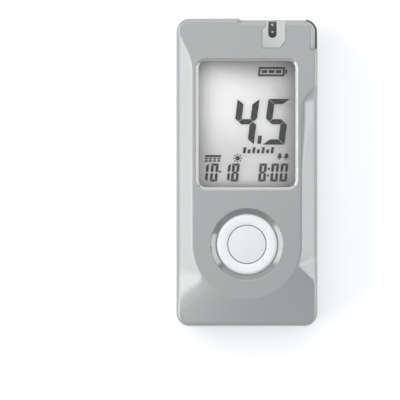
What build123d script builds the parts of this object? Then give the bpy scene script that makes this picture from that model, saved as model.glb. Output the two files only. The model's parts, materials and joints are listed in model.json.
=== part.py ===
from build123d import *

import os
from math import cos, hypot, radians, sin, tan

# Pocket blood glucose meter, in millimetres. It lies on its back: +Z comes out of the display, +Y points to
# the end that takes the test strip, and the origin is the middle of the face that it lies on.

# ---- overall size -------------------------------------------------------------------------------------------
LENGTH = 95.0
WIDTH = 43.6
TOP = 21.0  # height of the flat front face
CORNER = 4.0  # corner radius seen from the front
GAP = 0.05  # between pieces that are fixed to each other
SLIP = 0.2  # between pieces that move past each other
FREE = 0.4  # open space beside a piece that nothing has to touch
PAST = 1.0  # how far a cutting shape runs past the surface that it opens

# ---- the two covers -----------------------------------------------------------------------------------------
REAR_WALL = 1.6
REAR_FLOOR = 2.0
REAR_EDGE = 3.2  # rounding of the lower outer edge
LEDGE = 14.0  # the front cover stands on the rear cover at this height
PARTING = 0.15  # chamfer on both covers where they meet
FRONT_WALL = 2.4
LIP = 1.2  # how far the front cover's lip reaches down inside the rear cover
SIDE_CEILING = 16.6  # inside height next to the side walls
MID_CEILING = 19.0  # inside height under the flat face
MID_HALF = 15.0
MID_LOW = -36.0
EDGE_ROUND = 1.2  # rounding of the front cover's outer edges

# ---- sculpted front face ------------------------------------------------------------------------------------
KEY_Y = -22.2  # centre of the button
FLAT_HALF = 16.85  # half width of the flat face, and radius of its rounded lower end
SCOOP_SLOPE = 35.0  # side scoops, degrees below level
SCOOP_REACH = 7.0
SKIRT_SLOPE = 10.0  # lower end, degrees below level
LEFT_SCOOP_TOP = ((-20.35, 41.7), (-17.3, 35.25))
LEFT_SCOOP_END = ((-13.6, -33.5), (-21.3, -40.9))
RIGHT_SCOOP_TOP = ((20.7, 26.6), (17.6, 22.3))
RIGHT_SCOOP_END = ((16.0, -29.0), (21.3, -34.1))
SCOOP_TOP_SLOPE = 35.0
SCOOP_END_SLOPE = 30.0

# ---- display ------------------------------------------------------------------------------------------------
WINDOW_W = 29.9
WINDOW_H = 39.2
WINDOW_Y = 15.05
WINDOW_CORNER = 1.8
WINDOW_BEVEL = 0.8
WINDOW_SILL = 20.0  # the bevelled frame of the opening starts at this level
LENS_SEAT = 19.85
TAPE = 0.1
TAPE_SET_BACK = 0.2  # the tape stays out of sight behind the window's edge
LENS_W = 32.2
LENS_H = 41.9
LENS_T = 1.0
LENS_CORNER = 1.0
GLASS_W = 31.6
GLASS_LOW = -8.0
GLASS_HIGH = 35.7
REAR_GLASS_LOW = -5.5
GLASS_T = 1.1
GLASS_TOP = 18.1
FILM_T = 0.25
HOLDER_WALL = 0.35
HOLDER_SHELF = 1.8  # width of the holder's shelf under the glass at each side
HOLDER_END_SHELF = 1.5
ZEBRA_ROOM = 1.0  # the holder's slot for the elastomer strip starts this far in

# ---- button -------------------------------------------------------------------------------------------------
DISH_R = 11.2
DISH_DEPTH = 1.05
RING_R = 9.3
DISH_FLOOR_R = RING_R + 0.3
RING_BORE = 6.05
RING_SHOULDER = 20.3  # the ring's straight side ends here and its rounded top begins
RING_CREST = 21.25
RING_CREST_R = 7.9  # radius at which the ring is highest
RING_LIP = 20.95  # height of the ring's top next to the shoulder and at the bore
RING_CEILING = 19.25  # underside of the ring above the key's flange
RING_FLANGE_R = 10.2
FLANGE_T = 0.8  # thickness of the flanges that hold the ring and the key
KEY_R = RING_BORE - SLIP
KEY_CREST = 21.3
KEY_EDGE = 20.8
KEY_ROUND = 0.25
KEY_TRAVEL = 0.5
KEY_FLANGE_R = 6.8
KEY_FLANGE_TOP = 19.0
STEM_R = 2.2
SWITCH_SIDE = 6.0
SWITCH_TOP = 16.9
SWITCH_BASE_T = 0.3
SWITCH_LEG_X = 2.25
SWITCH_LEG_HALF = 0.35
SWITCH_LEG_REACH = 1.0
PLUNGER_R = 1.7
PLUNGER_TOP = 17.55

# ---- circuit board ------------------------------------------------------------------------------------------
BOARD_W = 29.8
BOARD_LOW = -40.0
BOARD_HIGH = 44.4
BOARD_BOTTOM = 14.0
BOARD_T = 1.0
BOARD_TOP = BOARD_BOTTOM + BOARD_T
POSTS = ((13.5, 37.8), (-13.5, 37.8), (13.4, -36.0), (-13.4, -36.0))
POST_R = 1.5
POST_FOOT = 1.0  # the posts start inside the floor
BOARD_HOLE_R = 0.9
BOARD_SCREW_R = 0.75
BOARD_SCREW_REACH = 5.0
BOARD_SCREW_HEAD_R = 1.4
BOARD_SCREW_HEAD_T = 1.0
CONTROLLER_AT = (-3.0, 17.0)
CONTROLLER_SIDE = 9.0
MEMORY_AT = (9.0, 20.0)
LEG_T = 0.25  # thickness of a chip's legs
BUZZER_AT = (-7.5, 30.0)
BUZZER_R = 4.6
BUZZER_T = 2.4
SLOT_PITCH = 1.8  # between the sound slots

# ---- test strip port ----------------------------------------------------------------------------------------
PORT_X = 7.86
PORT_HALF = 3.4
PORT_FLOOR = 17.0  # the test strip slides in on top of this level
PORT_CEILING = 18.25
SLOT_FLOOR = 15.85  # lower edge of the opening in the end wall
SLOT_START = 44.0
GUIDE_CHEEK = 0.8  # the guide and the connector are this much wider than the slot at each side
CONNECTOR_FROM, CONNECTOR_TO = 36.9, 41.8
MOUTH_FROM, MOUTH_T = 38.2, 0.8
BLADE_X = (-2.25, -0.75, 0.75, 2.25)
BLADE_FROM, BLADE_TO = 38.4, 41.0
BLADE_HALF, BLADE_T = 0.25, 0.3
STUD_Y = (43.4, 45.6)
STUD_R = 0.45
NOTCH_R = 1.3
NOTCH_END = 41.5
PAD_OUTLINE = ((5.9, 45.4), (4.6, 44.1), (4.6, 38.4), (10.2, 38.4), (11.95, 40.8))
PAD_TOP = 20.9

# ---- batteries ----------------------------------------------------------------------------------------------
CELL_R = 5.25
CELL_LENGTH = 44.5
CELL_NUB_R = 1.9
CELL_NUB = 0.8
CELL_X = 5.6
CELL_Z = 7.45
BAY_HALF = 11.3
BAY_LOW = -43.0
BAY_HIGH = 5.8
BAY_WALL = 1.0
BAY_ROOF = 12.9
BAY_ROOF_T = 0.8
PLATE_T = 0.3
PLATE_HALF = 4.0
LINK_HALF = 9.5
CELL_ROUND = 0.5
SPRING_LENGTH = 3.4
SPRING_R = 2.4
SPRING_WIRE = 0.22
SPRING_TURNS = 3.0
SPRING_TAPER = -14  # degrees

# ---- battery door -------------------------------------------------------------------------------------------
DOOR_HALF = 12.8
DOOR_SKIN = 1.2
DOOR_TONGUE = 1.0  # how far each side tongue reaches past the skin
DOOR_T = 2.0
DOOR_LIFT = 0.15  # room above the side tongues
DOOR_HIGH = 8.0
GRIP_Y = (-3.0, -1.0, 1.0, 3.0, 5.0)  # thumb grooves
GRIP_HALF = 5.0
GRIP_DEPTH = 0.4
SURROUND_HALF = 15.6  # thicker floor round the door
SURROUND_HIGH = 10.0
SURROUND_TOP = 3.2

# ---- screws -------------------------------------------------------------------------------------------------
SCREWS = ((17.2, 38.0), (-17.2, 38.0), (17.2, -42.5), (-17.2, -42.5))
BOSS_R = 2.0
REAR_BOSS_R = 2.1
BOSS_SPLIT = 9.1
SCREW_HEAD_R = 1.7
SCREW_HEAD_T = 1.3
SCREW_SEAT = 6.0
SCREW_R = 0.95
SCREW_TIP = 15.0
RECESS_HALF = 1.1  # reach and half width of the cross recess
RECESS_SLOT = 0.25

# ---- data socket and its flap -------------------------------------------------------------------------------
JACK_Y = 42.6
JACK_Z = 11.4
JACK_BORE_R = 1.3
JACK_FACE = 19.2
JACK_LENGTH = 10.2
JACK_SIDE = 5.0
JACK_BORE_LENGTH = 8.5
JACK_NOSE_R = 2.0
JACK_NOSE = 0.8
JACK_ROOM_HALF = 3.0
WALL_HOLE_R = 2.2
FLAP_T = 0.6
FLAP_X = 18.5  # the flap's end on the strip port side
FLAP_Y = 38.7  # the flap's hinged end
FLAP_RIDGE = 0.4  # pale ridge of the rear cover that stays inside the flap
FLAP_BACK = 0.1  # open space behind the flap
RIDGE_BACK = FLAP_BACK + FLAP_T + FLAP_RIDGE
RIDGE_TOP = 15.5
RIDGE_END = 0.4  # the ridge runs on this far past both ends of the flap
FLAP_LOW = 5.0
FLAP_TOP = 15.2
FLAP_CLEAR = 0.45  # open gap at both ends, for a fingernail and for the swing
HINGE_X = 21.05
HINGE_Y = 37.6
BARREL_R = 0.45
BARREL_TOP = 13.3
PIVOT_R = 0.3
PIVOT_REACH = 0.5
RUN = 0.05  # running clearance round the hinge
STOPPER_R = 1.0
STOPPER_T = 0.6

# ---- pale trim let into the strip end -----------------------------------------------------------------------
TRIM_FROM = -2.2
TRIM_TO = 18.0
TRIM_T = 0.4
TRIM_SET_BACK = 0.35
END_FACE = LENGTH / 2 - TRIM_SET_BACK - TRIM_T - GAP  # what stands behind the trim
TRIM_LOW = 5.2
TRIM_TOP = 15.6


def block(x0, x1, y0, y1, z0, z1):
    """Box between two corners."""
    centre = Pos((x0 + x1) / 2, (y0 + y1) / 2, (z0 + z1) / 2)
    return centre * Box(x1 - x0, y1 - y0, z1 - z0)


def post(x, y, radius, low, high):
    """Upright cylinder."""
    return Pos(x, y, (low + high) / 2) * Cylinder(radius, high - low)


def tile(width, height, corner, y, low, high):
    """Flat plate with rounded corners, centred on x = 0."""
    return extrude(Pos(0, y, low) * RectangleRounded(width, height, corner), amount=high - low)


def slab(inset, low, high):
    """The meter's outline drawn in by inset, between two heights."""
    shape = RectangleRounded(WIDTH - 2 * inset, LENGTH - 2 * inset, CORNER - inset)
    return extrude(Pos(0, 0, low) * shape, amount=high - low)


def below_edge(start, end, slope, outward):
    """Everything above the plane that falls at slope from the line start-end towards outward."""
    first, last = Vector(*start), Vector(*end)
    along = (last - first).normalized()
    across = Vector(-along.Y, along.X, 0).normalized()
    if across.dot(Vector(*outward, 0)) < 0:
        across = across * -1
    down = across * cos(radians(slope)) - Vector(0, 0, 1) * sin(radians(slope))
    normal = along.cross(down).normalized()
    if normal.Z < 0:
        normal = normal * -1
    size = 2 * LENGTH
    return Plane(origin=start, z_dir=normal) * Pos(0, 0, size / 2) * Box(size, size, size)


def skirt_height(x, y):
    """Height of the cone that falls away round the lower end of the flat face."""
    return TOP - (hypot(x, y - KEY_Y) - FLAT_HALF) * tan(radians(SKIRT_SLOPE))


def face_core():
    """The raised middle of the front: a ridge with sloping sides and a round lower end."""
    foot = FLAT_HALF + SCOOP_REACH / tan(radians(SCOOP_SLOPE))
    section = Polygon(
        (-foot, TOP - SCOOP_REACH), (foot, TOP - SCOOP_REACH), (FLAT_HALF, TOP), (-FLAT_HALF, TOP), align=None
    )
    plane = Plane(origin=(0, KEY_Y, 0), x_dir=(1, 0, 0), z_dir=(0, -1, 0))
    ridge = extrude(plane * section, amount=-LENGTH)
    end = Pos(0, KEY_Y, TOP - SCOOP_REACH / 2) * Cone(foot, FLAT_HALF, SCOOP_REACH)
    return ridge + end


def scoop(side, top_edge, end_edge):
    """Material taken off one side of the front: side is -1 on the left and 1 on the right."""
    top = below_edge((*top_edge[0], TOP), (*top_edge[1], TOP), SCOOP_TOP_SLOPE, (side, -1))
    ends = [(x, y, skirt_height(x, y)) for x, y in end_edge]
    end = below_edge(ends[0], ends[1], SCOOP_END_SLOPE, (side, 1))
    reach = block(min(0, side * WIDTH), max(0, side * WIDTH), -LENGTH, LENGTH, TOP - SCOOP_REACH, TOP + PAST)
    return (reach & top & end) - face_core()


def skirt():
    """Material taken off the lower end, outside the rounded end of the flat face."""
    radius = LENGTH / 2
    fall = (radius - FLAT_HALF) * tan(radians(SKIRT_SLOPE))
    cone = Pos(0, KEY_Y, TOP - fall / 2) * Cone(radius, FLAT_HALF, fall)
    return block(-WIDTH, WIDTH, -LENGTH, KEY_Y, TOP - fall, TOP + fall) - cone


def front_skin():
    """The front cover as a full solid, with every upper edge rounded."""
    skin = slab(0, LEDGE, TOP) - skirt()
    skin = skin - scoop(-1, LEFT_SCOOP_TOP, LEFT_SCOOP_END) - scoop(1, RIGHT_SCOOP_TOP, RIGHT_SCOOP_END)
    upper = [e for e in skin.edges() if e.center().Z > LEDGE + PAST and not is_upright(e)]
    skin = fillet(upper, EDGE_ROUND)
    skin = chamfer(skin.faces().sort_by(Axis.Z)[0].outer_wire().edges(), PARTING)
    corner = slab(RIDGE_BACK + GAP, LEDGE - PAST, TOP)
    corner = fillet(corner.faces().sort_by(Axis.Z)[-1].edges(), EDGE_ROUND)
    end = block(-WIDTH, WIDTH, 0, END_FACE, LEDGE - PAST, TOP)
    end = fillet(end.faces().sort_by(Axis.Y)[-1].edges().sort_by(Axis.Z)[-1:], EDGE_ROUND)
    skin = skin - (flap_zone(RIDGE_END + GAP, LEDGE - PAST, TOP + PAST) - corner)
    behind_trim = END_FACE - 2 * EDGE_ROUND
    return skin - (block(TRIM_FROM - GAP, TRIM_TO + GAP, behind_trim, LENGTH, LEDGE - PAST, TOP + PAST) - end)


def is_upright(edge):
    """True for a straight edge that runs along Z."""
    run = edge.position_at(1) - edge.position_at(0)
    return hypot(run.X, run.Y) < 0.01


def window_cut():
    """The display opening, with a bevelled frame."""
    narrow = Pos(0, WINDOW_Y, WINDOW_SILL) * RectangleRounded(WINDOW_W, WINDOW_H, WINDOW_CORNER)
    bevel = 2 * WINDOW_BEVEL
    wide = RectangleRounded(WINDOW_W + bevel, WINDOW_H + bevel, WINDOW_CORNER + WINDOW_BEVEL)
    wide = Pos(0, WINDOW_Y, TOP) * wide
    frame = loft([narrow.face(), wide.face()])
    straight = tile(WINDOW_W, WINDOW_H, WINDOW_CORNER, WINDOW_Y, LENS_SEAT - PAST, WINDOW_SILL)
    return frame + straight


def dish_cut():
    """The round recess that the button stands in, and the hole through it."""
    dish = Pos(0, KEY_Y, TOP - DISH_DEPTH / 2) * Cone(DISH_FLOOR_R, DISH_R, DISH_DEPTH)
    return dish + post(0, KEY_Y, RING_R + GAP, MID_CEILING - PAST, TOP)


def pad_outline(margin):
    """The strip port pad seen from the front, grown by margin."""
    first, last = PAD_OUTLINE[0], PAD_OUTLINE[-1]
    outline = Polygon((first[0], LENGTH / 2), *PAD_OUTLINE, (last[0], LENGTH / 2), align=None)
    return offset(outline, margin, kind=Kind.INTERSECTION) if margin else outline


def notch(low, high):
    """U-shaped notch that lets a finger or eye find the strip's end."""
    round_end = post(PORT_X, NOTCH_END + NOTCH_R, NOTCH_R, low, high)
    return round_end + block(PORT_X - NOTCH_R, PORT_X + NOTCH_R, NOTCH_END + NOTCH_R, LENGTH / 2, low, high)


def flap_zone(margin, low, high):
    """The corner that the flap wraps round, grown by margin."""
    return block(FLAP_X - margin, WIDTH, FLAP_Y - margin, LENGTH, low, high)


def front_cover():
    skin = front_skin()
    lip = slab(REAR_WALL + GAP, LEDGE - LIP, LEDGE)
    bosses = [post(x, y, BOSS_R, BOSS_SPLIT, SIDE_CEILING + SLIP) for x, y in SCREWS]
    inside = slab(FRONT_WALL, LEDGE - LIP, SIDE_CEILING)
    inside += block(-MID_HALF, MID_HALF, MID_LOW, LENGTH / 2 - FRONT_WALL, SIDE_CEILING, MID_CEILING)
    room = HOLDER_WALL + SLIP
    glass_half = GLASS_W / 2 + room
    low, high = GLASS_LOW - room - GAP, GLASS_HIGH + room + GAP
    inside += block(-glass_half, glass_half, low, high, SIDE_CEILING, GLASS_TOP + FREE)
    inside += tile(LENS_W + 2 * GAP, LENS_H + 2 * GAP, LENS_CORNER, WINDOW_Y, SIDE_CEILING, LENS_SEAT)
    cover = skin + lip - inside - window_cut() - dish_cut()
    pad = extrude(Pos(0, 0, MID_CEILING - PAST) * pad_outline(GAP), amount=TOP)
    half = PORT_HALF + GAP
    slot = block(PORT_X - half, PORT_X + half, SLOT_START, LENGTH, SLOT_FLOOR, PORT_CEILING + GAP)
    jack_low, jack_high = JACK_Y - JACK_ROOM_HALF, JACK_Y + JACK_ROOM_HALF
    jack_room = block(JACK_FACE - JACK_LENGTH - FREE, WIDTH, jack_low, jack_high, 0, LEDGE)
    cover = cover - pad - slot - jack_room - notch(SLOT_FLOOR, TOP + PAST)
    cover += bosses
    return cover - [post(x, y, SCREW_R + GAP, BOSS_SPLIT, SIDE_CEILING - FREE) for x, y in SCREWS]


def outer_case():
    """The rear cover's outer form as a full solid; the door is a piece of it."""
    case = slab(0, 0, LEDGE)
    case = chamfer(case.faces().sort_by(Axis.Z)[-1].edges(), PARTING)
    return fillet(case.faces().sort_by(Axis.Z)[0].edges(), REAR_EDGE)


def flap_pocket():
    """Room in the rear cover for the flap, its hinge and the wall hole behind it."""
    room = flap_zone(FLAP_CLEAR, FLAP_LOW - SLIP, TOP) - slab(FLAP_T + FLAP_BACK, 0, TOP)
    neck = block(HINGE_X, WIDTH, HINGE_Y - 2 * BARREL_R, FLAP_Y, FLAP_LOW - SLIP, BARREL_TOP + SLIP)
    barrel = post(HINGE_X, HINGE_Y, BARREL_R + RUN, FLAP_LOW - SLIP, BARREL_TOP + SLIP)
    reach = PIVOT_REACH + SLIP
    pivots = post(HINGE_X, HINGE_Y, PIVOT_R + RUN, FLAP_LOW - reach, BARREL_TOP + reach)
    hole = Pos(WIDTH / 2, JACK_Y, JACK_Z) * Rot(0, 90, 0) * Cylinder(WALL_HOLE_R, 2 * (REAR_WALL + PAST))
    return room + neck + barrel + pivots + hole


def door_channel():
    """Room in the rear cover for the door to slide out towards the lower end."""
    top = DOOR_HIGH + SLIP
    skin = block(-DOOR_HALF - SLIP, DOOR_HALF + SLIP, -LENGTH, top, -PAST, DOOR_SKIN)
    reach = DOOR_HALF + DOOR_TONGUE + SLIP
    return skin + block(-reach, reach, -LENGTH, top, DOOR_SKIN - DOOR_LIFT, DOOR_T + DOOR_LIFT)


def sound_slots():
    """Three slots over the buzzer."""
    x, y = BUZZER_AT
    slot = SlotOverall(5.0, SLOT_PITCH / 2)
    slots = [Pos(x, y + k * SLOT_PITCH, REAR_FLOOR / 2) * slot for k in (-1, 0, 1)]
    return [extrude(slot, amount=REAR_FLOOR, both=True) for slot in slots]


def rear_cover():
    case = outer_case()
    room = slab(REAR_WALL, REAR_FLOOR, TOP)
    surround = block(
        -SURROUND_HALF, SURROUND_HALF, -LENGTH / 2 + REAR_WALL / 2, SURROUND_HIGH, REAR_FLOOR / 2, SURROUND_TOP
    )
    walls = block(
        -BAY_HALF - BAY_WALL, BAY_HALF + BAY_WALL, BAY_LOW - BAY_WALL, BAY_HIGH + BAY_WALL,
        DOOR_T + SLIP, BAY_ROOF + BAY_ROOF_T,
    )
    case = case - room + surround + walls
    case += [post(x, y, POST_R, POST_FOOT, BOARD_BOTTOM - GAP) for x, y in POSTS]
    case += [post(x, y, REAR_BOSS_R, POST_FOOT, BOSS_SPLIT - GAP) for x, y in SCREWS]
    case += flap_zone(RIDGE_END, FLAP_LOW, RIDGE_TOP) & (slab(FLAP_T, 0, TOP) - slab(RIDGE_BACK, 0, TOP))
    bay = block(-BAY_HALF, BAY_HALF, BAY_LOW, BAY_HIGH, -PAST, BAY_ROOF)
    case = case - bay - door_channel() - flap_pocket()
    pilot_low = BOARD_BOTTOM - BOARD_SCREW_REACH - PAST
    case -= [post(x, y, BOARD_SCREW_R + GAP, pilot_low, BOARD_TOP) for x, y in POSTS]
    case -= [post(x, y, SCREW_HEAD_R + SLIP, -PAST, SCREW_SEAT) for x, y in SCREWS]
    case -= [post(x, y, SCREW_R + SLIP, 0, BOSS_SPLIT) for x, y in SCREWS]
    case -= block(TRIM_FROM - GAP, TRIM_TO + GAP, END_FACE, LENGTH, TRIM_LOW - GAP, LEDGE)
    return case - sound_slots()


def battery_door():
    skin = block(-DOOR_HALF, DOOR_HALF, -LENGTH / 2, DOOR_HIGH, 0, DOOR_SKIN)
    reach = DOOR_HALF + DOOR_TONGUE
    door = (skin + block(-reach, reach, -LENGTH / 2, DOOR_HIGH, DOOR_SKIN, DOOR_T)) & outer_case()
    grooves = [block(-GRIP_HALF, GRIP_HALF, y - GRIP_DEPTH, y + GRIP_DEPTH, -PAST, GRIP_DEPTH) for y in GRIP_Y]
    return door - grooves


def display_lens():
    top = LENS_SEAT - TAPE
    return tile(LENS_W, LENS_H, LENS_CORNER, WINDOW_Y, top - LENS_T, top)


def lens_adhesive():
    ring = tile(LENS_W, LENS_H, LENS_CORNER, WINDOW_Y, LENS_SEAT - TAPE, LENS_SEAT)
    inner = 2 * TAPE_SET_BACK
    return ring - tile(WINDOW_W + inner, WINDOW_H + inner, WINDOW_CORNER, WINDOW_Y, 0, TOP)


def lcd_front_glass():
    return block(-GLASS_W / 2, GLASS_W / 2, GLASS_LOW, GLASS_HIGH, GLASS_TOP - GLASS_T, GLASS_TOP)


def lcd_rear_glass():
    top = GLASS_TOP - GLASS_T
    return block(-GLASS_W / 2, GLASS_W / 2, REAR_GLASS_LOW, GLASS_HIGH, top - GLASS_T, top)


def lcd_reflector():
    top = GLASS_TOP - 2 * GLASS_T
    return block(-GLASS_W / 2, GLASS_W / 2, REAR_GLASS_LOW, GLASS_HIGH, top - FILM_T, top)


def lcd_holder():
    half = GLASS_W / 2 + GAP
    low, high = GLASS_LOW - GAP, GLASS_HIGH + GAP
    shelf = GLASS_TOP - 2 * GLASS_T - FILM_T
    outer = half + HOLDER_WALL
    top = GLASS_TOP - 2 * GAP
    frame = block(-outer, outer, low - HOLDER_WALL, high + HOLDER_WALL, BOARD_TOP, top)
    frame -= block(-half, half, low, high, shelf, TOP)
    opening = half - HOLDER_SHELF
    frame -= block(-opening, opening, REAR_GLASS_LOW + HOLDER_END_SHELF, high - HOLDER_END_SHELF, 0, TOP)
    slot = half - ZEBRA_ROOM
    return frame - block(-slot, slot, low + 2 * GAP, REAR_GLASS_LOW - FREE, 0, TOP)


def zebra_strip():
    half = GLASS_W / 2 - ZEBRA_ROOM - SLIP
    low, high = GLASS_LOW + SLIP, REAR_GLASS_LOW - FREE - SLIP
    return block(-half, half, low, high, BOARD_TOP, GLASS_TOP - GLASS_T)


def main_board():
    board = block(-BOARD_W / 2, BOARD_W / 2, BOARD_LOW, BOARD_HIGH, BOARD_BOTTOM, BOARD_TOP)
    return board - [post(x, y, BOARD_HOLE_R, 0, TOP) for x, y in POSTS]


def under_board(x, y, width, length, height):
    """A part soldered to the board's rear face."""
    return block(
        x - width / 2, x + width / 2, y - length / 2, y + length / 2, BOARD_BOTTOM - height, BOARD_BOTTOM
    )


def controller_chip():
    x, y = CONTROLLER_AT
    body = under_board(x, y, CONTROLLER_SIDE, CONTROLLER_SIDE, 1.4)
    span = CONTROLLER_SIDE + 2.0
    legs = [under_board(x, y + k, span, 0.35, LEG_T) for k in range(-4, 5)]
    return body + legs + [under_board(x + k, y, 0.35, span, LEG_T) for k in range(-4, 5)]


def memory_chip():
    x, y = MEMORY_AT
    legs = [under_board(x, y + k * 1.2, 7.0, 0.5, LEG_T) for k in (-1.5, -0.5, 0.5, 1.5)]
    return under_board(x, y, 4.4, 5.4, 1.2) + legs


def board_components():
    """Capacitors, resistors and the crystal."""
    rows = (10.5, 13.5, 16.5, 19.5, 23.5)
    small = [under_board(x, y, 1.0, 2.0, 0.7) for x in (-12.0, -10.2, 5.0) for y in rows]
    crystal = under_board(8.0, 28.0, 3.2, 7.0, 2.0)
    tall = [under_board(x, 33.5, 3.0, 3.4, 2.4) for x in (2.5, 8.5)]
    upper = [block(x, x + 2.0, -37.0, -36.0, BOARD_TOP, BOARD_TOP + 0.8) for x in (-8.0, -4.0, 0.0, 4.0, 8.0)]
    return Compound([*small, crystal, *tall, *upper])


def buzzer():
    x, y = BUZZER_AT
    low = BOARD_BOTTOM - BUZZER_T
    return post(x, y, BUZZER_R, low, BOARD_BOTTOM) - post(x, y, 0.8, low - PAST, low + 0.6)


def strip_port_guide():
    pad = extrude(Pos(0, 0, MID_CEILING - GAP) * pad_outline(0), amount=PAD_TOP - MID_CEILING + GAP)
    pad &= slab(LENGTH / 2 - END_FACE, 0, TOP)
    pad = fillet(pad.faces().sort_by(Axis.Z)[-1].edges(), 0.15)
    half = PORT_HALF + GUIDE_CHEEK
    high = LENGTH / 2 - FRONT_WALL - 2 * GAP
    flange = block(PORT_X - half, PORT_X + half, 37.6, high, PORT_CEILING, MID_CEILING - GAP)
    cheeks = [
        block(x, x + 0.7, 42.0, high, PORT_FLOOR - 0.8, PORT_CEILING)
        for x in (PORT_X - half, PORT_X + half - 0.7)
    ]
    return pad + flange + cheeks - notch(PORT_CEILING - PAST, TOP + PAST)


def strip_connector():
    half = PORT_HALF + GUIDE_CHEEK
    body = block(PORT_X - half, PORT_X + half, CONNECTOR_FROM, CONNECTOR_TO, BOARD_TOP, PORT_CEILING - GAP)
    mouth_top = PORT_FLOOR + MOUTH_T
    mouth = block(PORT_X - PORT_HALF, PORT_X + PORT_HALF, MOUTH_FROM, LENGTH, PORT_FLOOR, mouth_top)
    narrow = PORT_HALF - SLIP - GAP
    start, end = CONNECTOR_TO - PAST, END_FACE - 2 * GAP
    tongue = block(PORT_X - narrow, PORT_X + narrow, start, end, SLOT_FLOOR + 2 * GAP, PORT_FLOOR)
    return body + tongue - mouth


def strip_contacts():
    """Spring blades inside the connector and two sensing studs under the notch."""
    blades = [
        block(x - BLADE_HALF, x + BLADE_HALF, BLADE_FROM, BLADE_TO, PORT_FLOOR, PORT_FLOOR + BLADE_T)
        for x in (PORT_X + k for k in BLADE_X)
    ]
    studs = []
    for y in STUD_Y:
        stud = post(PORT_X, y, STUD_R, PORT_FLOOR, PORT_FLOOR + BLADE_T)
        studs.append(fillet(stud.faces().sort_by(Axis.Z)[-1].edges(), 0.2))
    return Compound([*blades, *studs])


def button_ring():
    flange_top = MID_CEILING - GAP
    flange_low = flange_top - FLANGE_T
    pocket_r = KEY_FLANGE_R + FREE
    outline = [
        (pocket_r, flange_low), (RING_FLANGE_R, flange_low), (RING_FLANGE_R, flange_top),
        (RING_R, flange_top), (RING_R, RING_SHOULDER),
    ]
    crest = (RING_CREST_R, 0, RING_CREST)
    bore_edge = (RING_BORE + 0.1, 0, RING_LIP)
    side = Polyline(*[(r, 0, z) for r, z in outline])
    shoulder = ThreePointArc((RING_R, 0, RING_SHOULDER), (RING_R - 0.3, 0, RING_LIP), crest)
    inner = ThreePointArc(crest, (RING_CREST_R - 1.0, 0, RING_CREST - GAP), bore_edge)
    rest = Polyline(
        bore_edge, (RING_BORE, 0, RING_LIP - 0.15), (RING_BORE, 0, RING_CEILING), (pocket_r, 0, RING_CEILING),
        (pocket_r, 0, flange_low),
    )
    profile = make_face([side, shoulder, inner, rest])
    return Pos(0, KEY_Y, 0) * revolve(profile, axis=Axis.Z)


def button_key():
    flange_low = KEY_FLANGE_TOP - FLANGE_T
    crown = KEY_CREST - KEY_EDGE
    dome_r = (KEY_R**2 + crown**2) / (2 * crown)
    cap = post(0, KEY_Y, KEY_R, flange_low, TOP + PAST) & (Pos(0, KEY_Y, KEY_CREST - dome_r) * Sphere(dome_r))
    rim = [e for e in cap.edges() if abs(e.bounding_box().min.Z - KEY_EDGE) < 0.01 and e.length > KEY_R]
    flange = post(0, KEY_Y, KEY_FLANGE_R, flange_low, KEY_FLANGE_TOP)
    return fillet(rim, KEY_ROUND) + flange + post(0, KEY_Y, STEM_R, PLUNGER_TOP + GAP, flange_low)


def switch_body():
    half = SWITCH_SIDE / 2
    body = block(-half, half, KEY_Y - half, KEY_Y + half, BOARD_TOP, SWITCH_TOP)
    reach = half + SWITCH_LEG_REACH
    base_top = BOARD_TOP + SWITCH_BASE_T
    legs = [
        block(x - SWITCH_LEG_HALF, x + SWITCH_LEG_HALF, KEY_Y - reach, KEY_Y + reach, BOARD_TOP, base_top)
        for x in (-SWITCH_LEG_X, SWITCH_LEG_X)
    ]
    return body + legs - post(0, KEY_Y, PLUNGER_R + 0.08, base_top, TOP)


def switch_plunger():
    stem = post(0, KEY_Y, PLUNGER_R, BOARD_TOP + SWITCH_BASE_T + KEY_TRAVEL + 2 * GAP, PLUNGER_TOP)
    return fillet(stem.faces().sort_by(Axis.Z)[-1].edges(), 0.2)


def cell(x, positive_up):
    """AAA cell lying along Y."""
    can_length = CELL_LENGTH - CELL_NUB
    can = fillet(Cylinder(CELL_R, can_length).edges(), CELL_ROUND)
    nub = Pos(0, 0, (can_length + CELL_NUB) / 2) * Cylinder(CELL_NUB_R, CELL_NUB)
    battery = can + nub
    inner_end = BAY_HIGH - PLATE_T - 2 * GAP
    outer_end = BAY_LOW + PLATE_T + 2 * GAP
    if positive_up:
        return Pos(x, inner_end - CELL_NUB - can_length / 2, CELL_Z) * Rot(-90, 0, 0) * battery
    return Pos(x, outer_end + CELL_NUB + can_length / 2, CELL_Z) * Rot(90, 0, 0) * battery


def cell_spring():
    """Conical contact spring along Z, wide end down."""
    path = Helix(SPRING_LENGTH / SPRING_TURNS * 0.9, SPRING_LENGTH * 0.9, SPRING_R, cone_angle=SPRING_TAPER)
    start = path.position_at(0)
    ring = Plane(origin=start, z_dir=path.tangent_at(0)) * Circle(SPRING_WIRE)
    return Pos(0, 0, SPRING_WIRE) * sweep(ring, path=path, is_frenet=True)


def battery_springs():
    at_low = Pos(-CELL_X, BAY_LOW + PLATE_T + 2 * GAP, CELL_Z) * Rot(-90, 0, 0) * cell_spring()
    at_high = Pos(CELL_X, BAY_HIGH - PLATE_T - 2 * GAP, CELL_Z) * Rot(90, 0, 0) * cell_spring()
    return Compound([at_low, at_high])


def battery_plates():
    """Link plate across the outer ends, and one terminal for each cell at the inner ends."""
    low = BAY_LOW + GAP
    high = BAY_HIGH - GAP
    bottom, top = CELL_Z - PLATE_HALF, CELL_Z + PLATE_HALF
    link = block(-LINK_HALF, LINK_HALF, low, low + PLATE_T, bottom, top)
    ends = [
        block(x - PLATE_HALF, x + PLATE_HALF, high - PLATE_T, high, bottom, top)
        for x in (-CELL_X, CELL_X)
    ]
    return Compound([link, *ends])


def cross_recess(low, high):
    """Cross-shaped driver recess."""
    bar = block(-RECESS_HALF, RECESS_HALF, -RECESS_SLOT, RECESS_SLOT, low, high)
    return bar + Rot(0, 0, 90) * bar


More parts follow.
